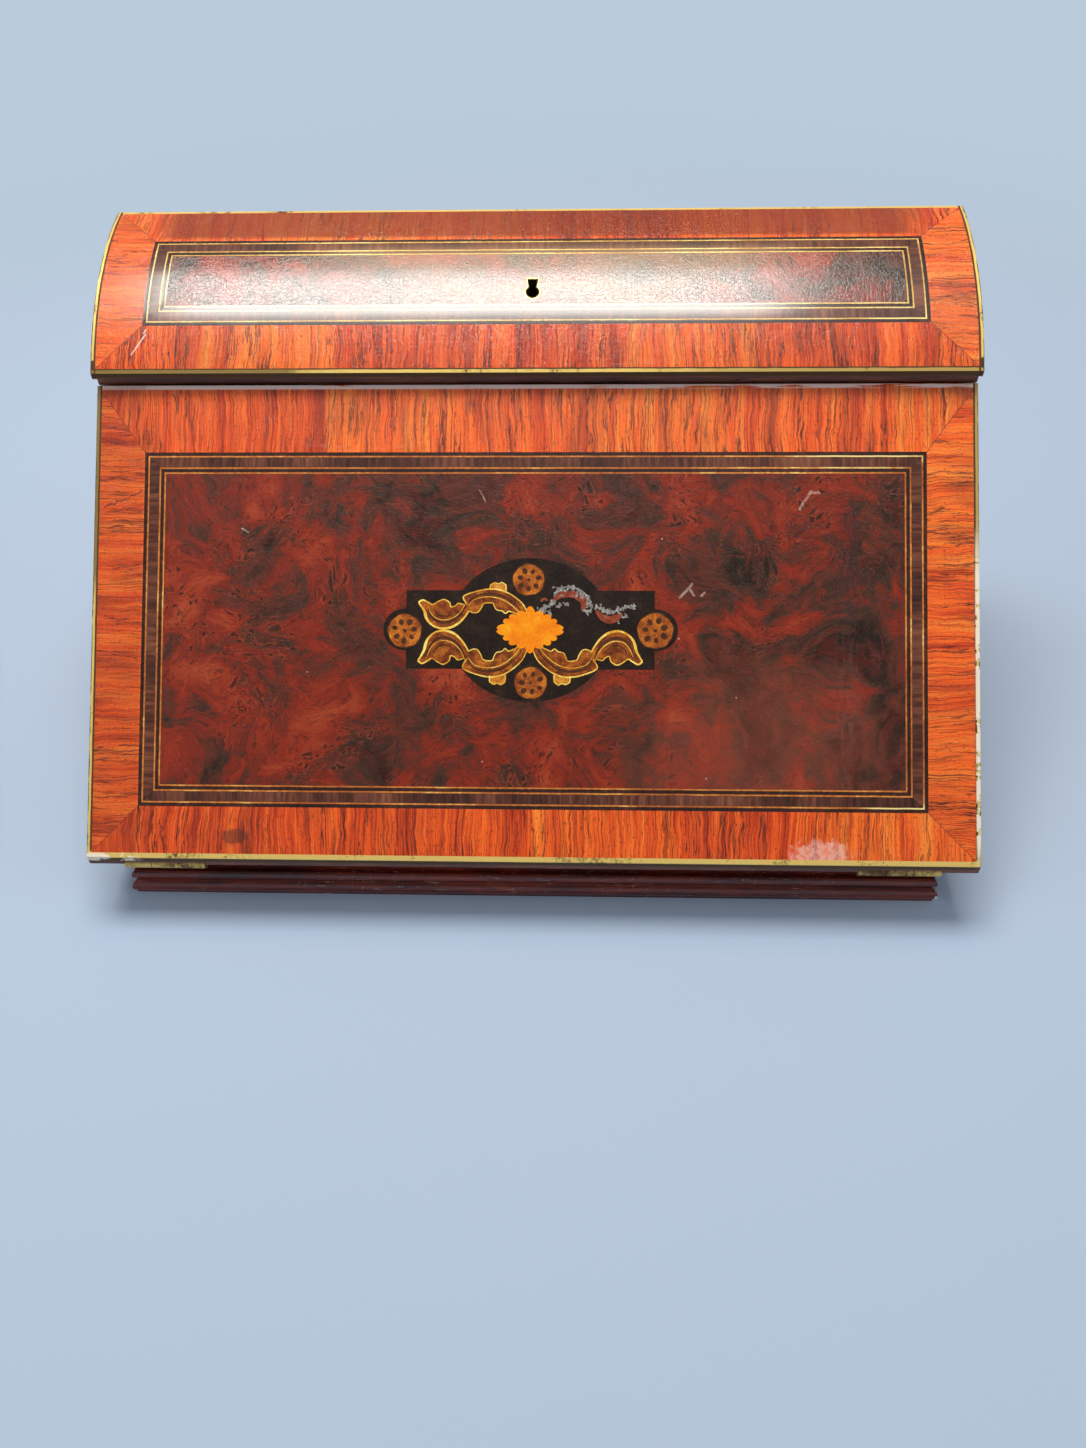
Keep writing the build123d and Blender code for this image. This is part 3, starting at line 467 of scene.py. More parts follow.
def straight_wood(name, direction, tones, coat, scale=1.0, seed=0.0, rough=(0.3, 0.5), scraped=0.0):
    """Plain wood with its grain along X, Y or Z."""
    f = Finish(name, coat=coat, coat_roughness=0.17, shine=0.15)
    x, y, z = f.split(f.place())
    run, a, b = {"X": (x, y, z), "Y": (y, x, z), "Z": (z, x, y)}[direction]
    slow = f.noise(f.combine(f.mul(run, 0.012), f.mul(a, 0.03), f.add(f.mul(b, 0.03), seed)), 1, 2)
    bend = f.mul(f.sub(slow, 0.5), 14)
    a = f.add(a, bend)
    b = f.add(b, bend)
    long = f.mul(run, 0.012 * scale)
    broad = f.noise(f.combine(long, f.mul(a, 0.075 * scale), f.add(f.mul(b, 0.075 * scale), seed)), 1, 3, 0.6)
    point = f.combine(f.mul(run, 0.035 * scale), f.mul(a, 0.7 * scale), f.add(f.mul(b, 0.7 * scale), seed))
    fine = f.noise(point, 1, 4, 0.65)
    pore = f.noise(f.combine(f.mul(run, 0.14), f.mul(a, 2.4), f.mul(b, 2.4)), 1, 2)
    pore = f.smooth(pore, 0.60, 0.72, 0.0, 0.7)
    colour = f.ramp(f.add(f.mul(broad, 0.55), f.mul(fine, 0.45)), *tones)
    darkest = tuple(0.5 * value for value in tones[0][1])
    colour = f.mix(pore, colour, darkest)
    if scraped:
        nick = f.noise(f.combine(f.mul(run, 0.10), f.mul(a, 1.6), f.add(f.mul(b, 1.6), seed)), 1, 3, 0.7)
        chip = f.noise(f.vec("ADD", f.place(), (seed, 0, 0)), 0.55, 4, 0.7)
        nick = f.most(f.smooth(nick, 0.63, 0.67), f.smooth(chip, 0.64, 0.67))
        patch = f.smooth(f.noise(f.place(), 0.03, 3, 0.6), 0.42, 0.56)
        colour = f.mix(f.mul(f.mul(nick, patch), scraped), colour, (0.50, 0.42, 0.36))
        end = f.mul(f.smooth(x, 169.6, 170.2), f.smooth(y, -103.0, -104.0))
        end = f.mul(end, f.smooth(f.noise(f.place(), 0.30, 3), 0.44, 0.50))
        colour = f.mix(end, colour, (0.85, 0.80, 0.72))
    f.set("Base Color", colour)
    f.set("Roughness", f.smooth(fine, 0.3, 0.7, *rough))
    f.set("Normal", f.bump(f.add(f.mul(fine, 0.5), f.mul(pore, -0.6)), 0.07, 0.6))
    return f


# Metals, leather, glass


def brass(name, bright, tarnish_and_shade, amount, rough=(0.22, 0.5), chips=None, dirt_and_shade=None, metallic=1.0):
    """Old brass: bright where rubbed, brown-black where dirt has settled and where a given mask paints shade.
    """
    f = Finish(name, metallic=1.0, shine=0.2)
    point = f.place()
    patch = f.noise(point, 0.05, 5, 0.65)
    spots = f.noise(point, 0.55, 5, 0.7)
    stain_and_shade = f.smooth(f.add(f.mul(patch, 0.6), f.mul(spots, 0.4)), 0.62 - 0.3 * amount, 0.72 - 0.22 * amount)
    # The mask given adds dirt and painted shade.
    if dirt_and_shade:
        stain_and_shade = f.most(stain_and_shade, f.mul(dirt_and_shade(f), 0.96))
    colour = f.mix(stain_and_shade, bright, tarnish_and_shade)
    metal = f.smooth(stain_and_shade, 0.4, 0.95, metallic, 0.2 * metallic)
    rough_value = f.between(stain_and_shade, rough[0], rough[1])
    rough_value = f.add(rough_value, f.mul(f.sub(spots, 0.5), 0.12))
    if chips:
        mask, chip_colour = chips(f)
        colour = f.mix(mask, colour, chip_colour)
        metal = f.mul(metal, f.sub(1.0, mask))
        rough_value = f.between(mask, rough_value, 0.7)
    f.set("Base Color", colour)
    f.set("Metallic", metal)
    f.set("Roughness", rough_value)
    dents = f.noise(point, 0.16, 3)
    normal = f.bump(dents, 0.35, 0.5)
    f.set("Normal", f.bump(spots, 0.05, 0.7, normal))
    return f


def steel(name):
    f = Finish(name, metallic=1.0)
    point = f.place()
    brushed = f.noise(f.vec("MULTIPLY", point, (0.06, 2.0, 2.0)), 1, 3)
    patch = f.noise(point, 0.08, 5, 0.65)
    colour = f.ramp(patch, (0.35, (0.16, 0.13, 0.11)), (0.5, (0.36, 0.34, 0.32)), (0.7, (0.50, 0.49, 0.47)))
    f.set("Base Color", colour)
    f.set("Roughness", f.smooth(brushed, 0.3, 0.7, 0.30, 0.52))
    f.set("Normal", f.bump(brushed, 0.03, 0.6))
    return f


def leather():
    """Dark writing leather with a gilt line near its edge."""
    f = Finish("writing_leather")
    across, along, out = f.slope()
    flat = f.combine(across, along, 3.0)
    pebble = f.cells(f.vec("ADD", flat, f.noise(flat, 0.8, 2, colour=True)), 0.85, "DISTANCE_TO_EDGE")
    pebble = f.smooth(pebble, 0.0, 0.28)
    patch = f.noise(flat, 0.022, 5, 0.6)
    colour = f.ramp(
        patch,
        (0.32, (0.028, 0.012, 0.009)),
        (0.50, (0.060, 0.022, 0.014)),
        (0.68, (0.120, 0.045, 0.026)),
    )
    colour = f.mix(f.smooth(pebble, 0.0, 0.8, 0.55, 0.0), colour, (0.016, 0.008, 0.006))
    to_ends = f.least(f.sub(along, 20.0), f.sub(FLAP_LENGTH - 20.0, along))
    edge = f.least(f.sub(154.0, f.size(across)), to_ends)
    near = f.least(f.size(f.sub(edge, 5.0)), f.size(f.sub(edge, 10.0)))
    line = f.smooth(near, 0.30, 0.50, 1.0, 0.0)
    bead_x = f.sub(f.math("FRACT", f.mul(across, 0.25)), 0.5)
    bead_y = f.sub(f.math("FRACT", f.mul(f.sub(along, 20.0), 0.25)), 0.5)
    bead = f.math("SQRT", f.add(f.mul(bead_x, bead_x), f.mul(bead_y, bead_y)))
    row = f.smooth(f.size(f.sub(edge, 7.5)), 1.2, 1.5, 1.0, 0.0)
    bead = f.mul(f.smooth(bead, 0.20, 0.27, 1.0, 0.0), row)
    gilt = f.mul(f.most(line, bead), f.smooth(f.noise(flat, 0.12, 5, 0.7), 0.36, 0.46))
    f.set("Base Color", f.mix(gilt, colour, (0.72, 0.47, 0.15)))
    f.set("Metallic", f.mul(gilt, 0.8))
    f.set("Roughness", f.between(gilt, f.smooth(patch, 0.3, 0.7, 0.42, 0.60), 0.35))
    height = f.add(f.mul(pebble, 0.6), f.mul(gilt, -0.5))
    f.set("Normal", f.bump(height, 0.12, 0.7))
    return f


def inkwell_glass():
    f = Finish("inkwell_glass", roughness=0.03)
    ripple = f.noise(f.place(), 0.09, 3)
    f.set("Base Color", (0.90, 0.96, 0.94))
    f.set("Transmission Weight", 1.0)
    f.set("Roughness", f.smooth(f.noise(f.place(), 0.5, 3), 0.4, 0.8, 0.02, 0.10))
    f.set("Normal", f.bump(ripple, 0.3, 0.4))
    return f


def ink():
    f = Finish("dried_ink", coat=0.4)
    point = f.place()
    film = f.noise(point, 0.5, 4)
    f.set("Base Color", f.ramp(film, (0.4, (0.004, 0.005, 0.012)), (0.7, (0.018, 0.016, 0.030))))
    f.set("Roughness", f.smooth(film, 0.3, 0.7, 0.10, 0.35))
    f.set("Normal", f.bump(film, 0.05, 0.5))
    return f


# Finishes of the CAD nodes

LID_COAT_IOR = 1.72
BAND_TONES = (
    (0.33, (0.20, 0.015, 0.003)),
    (0.405, (0.52, 0.042, 0.005)),
    (0.465, (0.80, 0.086, 0.009)),
    (0.535, (0.95, 0.150, 0.014)),
    (0.655, (0.98, 0.280, 0.036)),
)


def flap_band_wear(f, across, along, colour, rough):
    pale = f.smooth(along, FLAP_LENGTH - 2.1, FLAP_LENGTH - 1.2)
    broken = f.noise(f.combine(f.mul(across, 0.03), f.mul(along, 0.8), 2.0), 1, 4, 0.6)
    left = f.smooth(across, 40, -30, 0.0, 0.10)
    pale = f.mul(pale, f.smooth(f.add(broken, left), 0.42, 0.50))
    colour = f.mix(pale, colour, (0.92, 0.66, 0.58))
    foot_patch = f.blot(across, along, (117.0, 4.0), (12.5, 6.0), 0.75, 0.30)
    flaked = f.smooth(f.noise(f.combine(across, along, 6.0), 0.5, 5, 0.7), 0.44, 0.56)
    foot_patch = f.mul(foot_patch, f.between(flaked, 0.45, 1.0))
    colour = f.mix(f.mul(foot_patch, 0.80), colour, (0.84, 0.44, 0.35))
    crack = f.several([
        f.scratch(across, along, (-150.1, 15.2), (-147.9, 1.5), 0.45, 1.4),
        f.scratch(across, along, (-176.0, 143.6), (-160.0, 150.0), 0.55, 1.6),
        f.scratch(across, along, (-172.0, 118.0), (-161.0, 120.0), 0.40, 1.6),
    ])
    colour = f.mix(f.mul(crack, 0.85), colour, (0.05, 0.014, 0.010))
    knot = f.blot(across, along, (-119.1, 9.0), (6.0, 3.4), 0.6, 0.2)
    colour = f.mix(f.mul(knot, 0.65), colour, (0.085, 0.020, 0.012))
    colour = f.mix(f.smooth(across, -158.0, -161.0, 0.0, 0.32), colour, (0.30, 0.030, 0.005))
    rub = f.several([f.mul(foot_patch, 1.0), pale])
    return colour, f.between(rub, rough, 0.6)


def flap_burr_wear_and_sheen(f, across, along, colour, rough):
    drip = f.blot(across, along, (128.6, 122.0), (4.6, 26.0), 0.75, 0.14)
    broken = f.noise(f.combine(f.mul(across, 2.0), f.mul(along, 0.5), 1.0), 0.28, 4, 0.7)
    broken = f.smooth(broken, 0.40, 0.56)
    colour = f.mix(f.mul(f.mul(drip, broken), 0.60), colour, (0.030, 0.018, 0.020))
    runs = f.blot(across, along, (127.5, 60.0), (6.0, 48.0), 0.9, 0.14, 0.8)
    colour = f.mix(f.mul(f.mul(runs, broken), 0.14), colour, (0.24, 0.13, 0.11))
    # Painted sheen: a broad, faint lighter patch on the panel stands in for the polish catching the light.
    painted_sheen = f.blot(across, along, (92.0, 46.0), (62.0, 40.0), 0.6, 0.05, 0.8)
    colour = f.mix(f.mul(painted_sheen, 0.20), colour, (0.46, 0.11, 0.06))
    scuffs = f.several([
        f.scratch(across, along, (108.5, 143.0), (113.0, 150.0), 0.7, 1.0),
        f.scratch(across, along, (113.0, 150.0), (116.0, 149.5), 0.8, 1.2),
        f.scratch(across, along, (60.5, 107.0), (65.5, 112.4), 0.75, 0.5),
        f.scratch(across, along, (64.2, 111.0), (66.2, 107.6), 0.55, 0.5),
        f.scratch(across, along, (69.0, 107.6), (70.3, 109.0), 0.6, 0.5),
        f.scratch(across, along, (-21.0, 150.5), (-18.5, 146.0), 0.4, 0.4),
        f.scratch(across, along, (-118.5, 134.8), (-116.0, 133.2), 0.5, 0.7),
    ])
    worn_through = f.smooth(f.noise(f.combine(across, along, 8.0), 0.9, 4, 0.7), 0.40, 0.58)
    scuffs = f.mul(scuffs, f.between(worn_through, 0.35, 1.0))
    colour = f.mix(f.mul(scuffs, 0.60), colour, (0.62, 0.42, 0.36))
    return colour, f.between(scuffs, rough, 0.6)


def lid_band_wear_and_shade(f, across, along, colour, rough):
    marks = f.several([
        f.scratch(across, along, (-163.3, 7.7), (-157.9, 16.1), 0.4, 0.5),
        f.scratch(across, along, (-158.5, 16.6), (-157.6, 18.4), 0.4, 0.4),
        f.scratch(across, along, (-30.0, 0.6), (-12.0, 1.4), 0.8, 1.0),
        f.scratch(across, along, (40.0, 1.0), (52.0, 1.0), 0.7, 1.0),
    ])
    # Painted shade: the lid's back band is darkened across its middle, standing in for the shade where it
    # turns away from the lamps.
    deep = f.smooth(along, DOME_ARC - 21.0, DOME_ARC - 18.0, 0.0, 0.80)
    deep = f.mul(deep, f.smooth(f.size(across), 165, 150))
    colour = f.mix(deep, colour, (0.20, 0.026, 0.004))
    colour = f.mix(f.mul(marks, 0.8), colour, (0.88, 0.62, 0.52))
    return colour, f.between(marks, rough, 0.6)


def lid_burr_wear(f, across, along, colour, rough):
    crack = f.scratch(across, along, (-34.1, 47.5), (-33.0, 24.0), 0.4, 1.2)
    colour = f.mix(f.mul(crack, 0.8), colour, (0.03, 0.012, 0.010))
    # A lighter golden-brown patch across the middle of the lid panel.
    golden_patch = f.smooth(f.noise(f.combine(f.mul(across, 0.02), f.mul(along, 0.05), 4.0), 1, 3), 0.40, 0.65)
    middle = f.smooth(f.size(f.sub(across, 15.0)), 30, 95, 1.0, 0.0)
    colour = f.mix(f.mul(f.mul(golden_patch, middle), 0.5), colour, (0.36, 0.17, 0.075))
    return colour, rough


dress(banding("flap_banding", "slope", FLAP_FULL, FLAP_FIRST, 0.0, 1.55, flap_band_wear), "flap_crossbanding")
dress(banding("lid_banding", "dome", LID_FULL, LID_FIRST, 40.0, 1.6, lid_band_wear_and_shade), "lid_crossbanding")
dress(burr("flap_burr", "slope", 11.0, 0.6, 1.5, 0.05, flap_burr_wear_and_sheen), "flap_burr_panel")
dress(burr("lid_burr", "dome", 71.0, 1.0, LID_COAT_IOR, 0.032, lid_burr_wear), "lid_burr_panel")
dress(narrow_band("flap_narrow_band", "slope", (157.2, 23.1, 164.1), 5.0, 1.5), "flap_middle_band")
dress(narrow_band("lid_narrow_band", "dome", (157.2, 22.2, 60.57), 25.0, LID_COAT_IOR), "lid_middle_band")
FLAP_LINE_TONES = (
    (0.36, (0.30, 0.070, 0.014)),
    (0.48, (0.50, 0.140, 0.026)),
    (0.57, (0.70, 0.260, 0.050)),
    (0.66, (0.95, 0.660, 0.180)),
)
LID_LINE_TONES = (
    (0.36, (0.45, 0.200, 0.045)),
    (0.48, (0.72, 0.420, 0.100)),
    (0.60, (0.95, 0.760, 0.280)),
)
DARK_LINE_TONES = (
    (0.35, (0.014, 0.007, 0.006)),
    (0.52, (0.038, 0.014, 0.010)),
    (0.68, (0.130, 0.034, 0.018)),
)
dress(stringing("flap_light_line", "slope", FLAP_FIRST, True, FLAP_LINE_TONES, 1.5), "flap_light_lines")
dress(stringing("lid_light_line", "dome", LID_FIRST, True, LID_LINE_TONES, LID_COAT_IOR), "lid_light_lines")
dress(stringing("flap_dark_line", "slope", FLAP_FIRST, False, DARK_LINE_TONES, 1.5), "flap_dark_lines")
dress(stringing("lid_dark_line", "dome", LID_FIRST, False, DARK_LINE_TONES, LID_COAT_IOR), "lid_dark_lines")


def edge_chips(f):
    """Where the edge brass has gone and the pale ground shows."""
    x, y, z = f.split(f.place())
    broken = f.noise(f.place(), 0.22, 4, 0.65)
    right = f.smooth(x, 178.0, 178.6)
    low = f.mul(f.smooth(z, 30.0, 42.0), f.smooth(z, 108.0, 126.0, 1.0, 0.0))
    side = f.mul(f.mul(right, low), f.smooth(broken, 0.38, 0.44))
    foot = f.mul(f.smooth(x, -156.0, -164.0), f.smooth(z, 34.6, 33.6))
    foot = f.mul(foot, f.smooth(broken, 0.50, 0.55))
    return f.most(side, foot), (0.86, 0.72, 0.56)


def outer_dirt_and_shade(f):
    """How far dark dirt reaches on the outer edges of the edge brass, with painted shade on its lower and
    forward-facing faces.
    """
    x, y, z = f.split(f.place())
    shake = f.mul(f.sub(f.noise(f.place(), 0.10, 4, 0.65), 0.5), 1.4)
    reach = f.add(f.size(x), f.mul(shake, 0.3))
    side = f.mul(f.smooth(reach, 178.95, 178.65), f.smooth(f.slope()[1], 1.5, 3.0))
    side = f.mul(side, f.smooth(f.size(x), 177.7, 178.0))
    rim = f.smooth(f.add(f.size(x), shake), 179.6, 179.9)
    # Painted shade on the lower face of the fall front's edge brass, below its arris.
    foot = f.smooth(f.add(z, f.mul(shake, 0.25)), 32.75, 32.35)
    facing = f.split(f.node("ShaderNodeTexCoord").outputs["Normal"])[1]
    on_lid = f.smooth(z, 100.0, 110.0)
    # Painted shade on the faces of the lid's edge brass that turn forward.
    lid_face_shade = f.mul(f.smooth(facing, -0.73, -0.80), on_lid)
    around = f.add(f.dome()[1], f.mul(shake, 0.5))
    seam = f.mul(f.mul(f.smooth(around, 1.15, 1.45), f.smooth(around, 6.0, 5.0)), on_lid)
    run = f.add(x, f.mul(shake, 22.0))
    dim = f.most(f.smooth(run, -78.0, -104.0, 0.0, 0.80), f.smooth(run, 30.0, 90.0, 0.0, 0.45))
    dim = f.mul(f.mul(dim, f.smooth(around, 4.0, 3.0)), on_lid)
    return f.several([side, rim, foot, lid_face_shade, seam, dim])


BRIGHT_BRASS = (0.95, 0.66, 0.19)
DULL_BRASS = (0.045, 0.014, 0.006)
EDGE_ROUGHNESS = (0.30, 0.5)
dress(
    brass("edge_brass", BRIGHT_BRASS, DULL_BRASS, 0.30, EDGE_ROUGHNESS, edge_chips, outer_dirt_and_shade, 0.4),
    "flap_brass_edging",
)
dress(
    brass("lid_edge_brass", BRIGHT_BRASS, DULL_BRASS, 0.32, EDGE_ROUGHNESS, None, outer_dirt_and_shade, 0.4),
    "lid_brass_edging",
)


def keyhole_shade(f):
    """Painted shade: dark inside the keyhole and on the inner edge of its lining."""
    across, around, out = f.dome()
    up = f.sub(around, KEYHOLE_AROUND)
    eye = f.math("SQRT", f.add(f.mul(across, across), f.mul(up, up)))
    eye = f.smooth(eye, 2.85, 3.0, 1.0, 0.0)
    slot = f.sub(f.size(across), f.mul(f.most(f.sub(up, 2.6), 0.0), 0.16))
    in_height = f.mul(f.smooth(up, 0.0, 0.1), f.smooth(up, 6.3, 6.45, 1.0, 0.0))
    slot = f.mul(f.smooth(slot, 1.75, 1.9, 1.0, 0.0), in_height)
    return f.several([f.smooth(out, -0.45, -0.15, 1.0, 0.0), eye, slot])


dress(
    brass("keyhole_brass", BRIGHT_BRASS, (0.010, 0.006, 0.004), 0.15, EDGE_ROUGHNESS, None, keyhole_shade, 0.6),
    "keyhole_lining",
)
dress(
    brass("hinge_brass", (0.66, 0.44, 0.13), (0.10, 0.055, 0.024), 0.55, (0.30, 0.55), metallic=0.7),
    "rail_hinge_leaves", "rail_hinge_screws", "flap_hinge_leaves", "flap_hinge_screws", "flap_hinge_pins",
    "case_hinge_leaves", "case_hinge_screws", "lid_hinge_leaves", "lid_hinge_screws", "lid_hinge_pins",
    "strike_plate", "inkwell_pins",
)
dress(
    brass("cap_brass", (0.86, 0.65, 0.29), (0.30, 0.19, 0.08), 0.1, (0.16, 0.36)),
    "inkwell_collar_left", "inkwell_collar_right", "inkwell_cap_left", "inkwell_cap_right",
)
dress(steel("lock_steel"), "lock_case", "lock_bolt")
dress(leather(), "flap_writing_leather")
dress(inkwell_glass(), "inkwell_glass_left", "inkwell_glass_right")

SIDE_TONES = (
    (0.34, (0.085, 0.020, 0.010)),
    (0.46, (0.24, 0.048, 0.016)),
    (0.56, (0.42, 0.085, 0.022)),
    (0.70, (0.58, 0.15, 0.040)),
)
CARCASE_TONES = (
    (0.34, (0.045, 0.012, 0.008)),
    (0.48, (0.13, 0.032, 0.016)),
    (0.62, (0.25, 0.070, 0.030)),
)
MOULDING_TONES = (
    (0.32, (0.020, 0.004, 0.002)),
    (0.46, (0.070, 0.008, 0.004)),
    (0.56, (0.160, 0.016, 0.006)),
    (0.70, (0.280, 0.034, 0.010)),
)
INTERIOR_TONES = (
    (0.34, (0.17, 0.070, 0.030)),
    (0.48, (0.33, 0.15, 0.065)),
    (0.60, (0.46, 0.23, 0.105)),
    (0.72, (0.56, 0.30, 0.15)),
)
dress(straight_wood("side_veneer_back", "X", SIDE_TONES, 0.8, 1.0, 3.0), "back_board", "lid_back_rail")
dress(
    straight_wood("side_veneer", "Y", SIDE_TONES, 0.8, 1.0, 8.0),
    "side_board_left", "side_board_right", "lid_end_left", "lid_end_right",
)
dress(straight_wood("carcase_wood", "X", CARCASE_TONES, 0.4, 1.0, 14.0), "top_rail", "flap_core", "lid_dome")
dress(
    straight_wood("moulding_front_back", "X", MOULDING_TONES, 0.8, 1.2, 21.0, (0.26, 0.46), 0.5),
    "base_moulding_front", "base_moulding_back", "hinge_rail",
)
dress(
    straight_wood("moulding_sides", "Y", MOULDING_TONES, 0.8, 1.2, 27.0, (0.26, 0.46), 0.5),
    "base_moulding_left", "base_moulding_right",
)
dress(
    straight_wood("interior_across", "X", INTERIOR_TONES, 0.1, 1.0, 33.0, (0.42, 0.6)),
    "bottom_board", "shelf", "pen_tray", "rack_divider_front", "rack_divider_middle", "rack_divider_rear",
    "strike_block",
)
dress(
    straight_wood("interior_deep", "Y", INTERIOR_TONES, 0.1, 1.0, 37.0, (0.42, 0.6)),
    "shelf_bearers", "tray_partitions",
)
dress(
    straight_wood("inner_border", "X", SIDE_TONES, 0.6, 1.0, 41.0),
    "flap_inner_border",
)


# Pieces laid on the fall front


def on_face(x, y, out):
    """A point of the fall front's face, from millimetres about the cartouche's centre, in metres."""
    along = CARTOUCHE_ALONG + y
    back = along * SLOPE_COS - out * SLOPE_SIN - MIDDLE_BACK
    up = ARRIS_UP + along * SLOPE_SIN + out * SLOPE_COS
    return Vector((x, back, up)) * MM


def smooth_line(points, steps=6, closed=False):
    """A Catmull-Rom line through flat points."""
    count = len(points)
    made = []
    spans = count if closed else count - 1
    for i in range(spans):
        if closed:
            p0, p1, p2, p3 = (points[(i + k - 1) % count] for k in range(4))
        else:
            p0, p1, p2, p3 = (points[min(max(i + k - 1, 0), count - 1)] for k in range(4))
        for step in range(steps):
            t = step / steps
            made.append(tuple(
                0.5 * (2 * b + (c - a) * t + (2 * a - 5 * b + 4 * c - d) * t * t
                       + (3 * b - a - 3 * c + d) * t ** 3)
                for a, b, c, d in zip(p0, p1, p2, p3)
            ))
    if not closed:
        made.append(tuple(points[-1]))
    return made


def add_plate(mesh, outline, low, high):
    """A thin closed plate with a flat outline."""
    area = sum(a[0] * b[1] - b[0] * a[1] for a, b in zip(outline, outline[1:] + outline[:1]))
    if area < 0:
        outline = outline[::-1]
    top = [mesh.verts.new(on_face(x, y, high)) for x, y in outline]
    foot = [mesh.verts.new(on_face(x, y, low)) for x, y in outline]
    for a, b, c in tessellate_polygon([[Vector((x, y, 0)) for x, y in outline]]):
        turn = (outline[b][0] - outline[a][0]) * (outline[c][1] - outline[a][1])
        turn -= (outline[c][0] - outline[a][0]) * (outline[b][1] - outline[a][1])
        order = (a, b, c) if turn > 0 else (a, c, b)
        mesh.faces.new([top[k] for k in order])
        mesh.faces.new([foot[k] for k in reversed(order)])
    for k in range(len(outline)):
        after = (k + 1) % len(outline)
        mesh.faces.new([top[k], foot[k], foot[after], top[after]])


def ribbon(points, widths):
    """The outline of a line of changing width."""
    left, right = [], []
    for k, (x, y) in enumerate(points):
        before = points[max(k - 1, 0)]
        after = points[min(k + 1, len(points) - 1)]
        dx, dy = after[0] - before[0], after[1] - before[1]
        length = math.hypot(dx, dy) or 1.0
        share = k / (len(points) - 1) * (len(widths) - 1)
        low = int(min(share, len(widths) - 2))
        half = 0.5 * (widths[low] + (widths[low + 1] - widths[low]) * (share - low))
        left.append((x - dy / length * half, y + dx / length * half))
        right.append((x + dy / length * half, y - dx / length * half))
    return left + right[::-1]


def finished(name, mesh, finish, body="flap"):
    data = bpy.data.meshes.new(name)
    mesh.to_mesh(data)
    mesh.free()
    piece = bpy.data.objects.new(name, data)
    bpy.context.scene.collection.objects.link(piece)
    data.materials.append(finish.material)
    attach(piece, body)
    return piece


# Cartouche


def ground_outline(count=480):
    """The dark ground's outline: an oval body, two arms and a lobe at each end."""
    shape = []
    for k in range(count):
        angle = 2 * math.pi * k / count
        c, s = math.cos(angle), math.sin(angle)
        reach = 1 / math.hypot(c / 33.0, s / 29.2)
        arm = min(50.4 / max(abs(c), 1e-6), 16.0 / max(abs(s), 1e-6))
        reach = max(reach, arm)
        inside = 8.4 ** 2 - (51.3 * s) ** 2
        if inside > 0:
            reach = max(reach, 51.3 * abs(c) + math.sqrt(inside))
        shape.append((reach * 1.0008 * c, reach * 1.0008 * s))
    return shape


VOLUTE_BACK = [(24.9, -8.9), (26.4, -6.3), (28.7, -3.4), (31.6, -1.3), (34.5, -0.5), (36.8, -0.6),
               (39.7, -1.9),
               (42.0, -4.8), (43.2, -8.9), (45.5, -12.7)]
VOLUTE_LEAVES = [(43.8, -13.9), (41.4, -12.7), (39.7, -11.8), (37.4, -13.3), (35.1, -14.2), (32.8, -12.7),
                 (32.2, -10.7), (30.4, -11.3), (29.3, -12.4), (27.0, -11.8)]
BOW_UNDER = [(27.2, -15.6), (22.3, -18.0), (17.7, -19.1), (13.6, -19.1), (9.6, -17.7), (6.1, -15.3),
             (3.2, -12.4),
             (1.7, -9.5), (1.0, -7.3)]
BOW_LEAVES = [(3.6, -6.2), (5.5, -7.4), (7.2, -8.2), (8.7, -8.7), (10.1, -7.7), (11.3, -8.8), (13.6, -9.4),
              (14.6, -11.0), (15.2, -12.5), (17.1, -12.7), (19.1, -12.1), (20.0, -10.1), (21.4, -8.2),
              (23.2, -8.0),
              (24.9, -8.9)]
BOW_INNER = [(25.2, -12.6), (22.6, -15.6), (17.7, -16.9), (13.0, -16.4), (9.0, -14.4), (5.2, -11.0),
             (3.4, -8.4)]
VOLUTE_INNER = [(26.2, -11.4), (28.1, -7.4), (31.0, -4.6), (34.5, -3.3), (38.0, -4.0), (40.4, -6.4),
                (41.8, -9.6)]
VOLUTE_EYE = [(30.6, -8.6), (33.0, -6.6), (36.0, -6.4), (38.4, -8.0), (39.2, -10.2)]
BUMP = [(16.2, -18.6), (16.3, -21.2), (14.6, -22.3), (13.1, -21.7), (11.6, -22.5), (9.9, -21.2),
        (10.0, -18.0)]


def mirrored(points, x_sign, y_scale):
    return [(x * x_sign, y * y_scale) for x, y in points]


def scallops(width, height, count, depth):
    """An oval with a lobed edge and a point at each end of its axes."""
    shape = []
    steps = count * 10
    for k in range(steps):
        angle = 2 * math.pi * k / steps
        lobe = abs(math.sin(angle * count / 2)) ** 0.7
        spike = 1.9 * max(0.0, math.cos(2 * angle)) ** 14 if abs(math.cos(angle)) > 0.7 else 0.0
        spike += 1.5 * max(0.0, -math.cos(2 * angle)) ** 18 if abs(math.sin(angle)) > 0.7 else 0.0
        x = math.cos(angle) * (width + depth * lobe + spike)
        y = math.sin(angle) * (height + depth * lobe + spike)
        shape.append((x, y))
    return shape


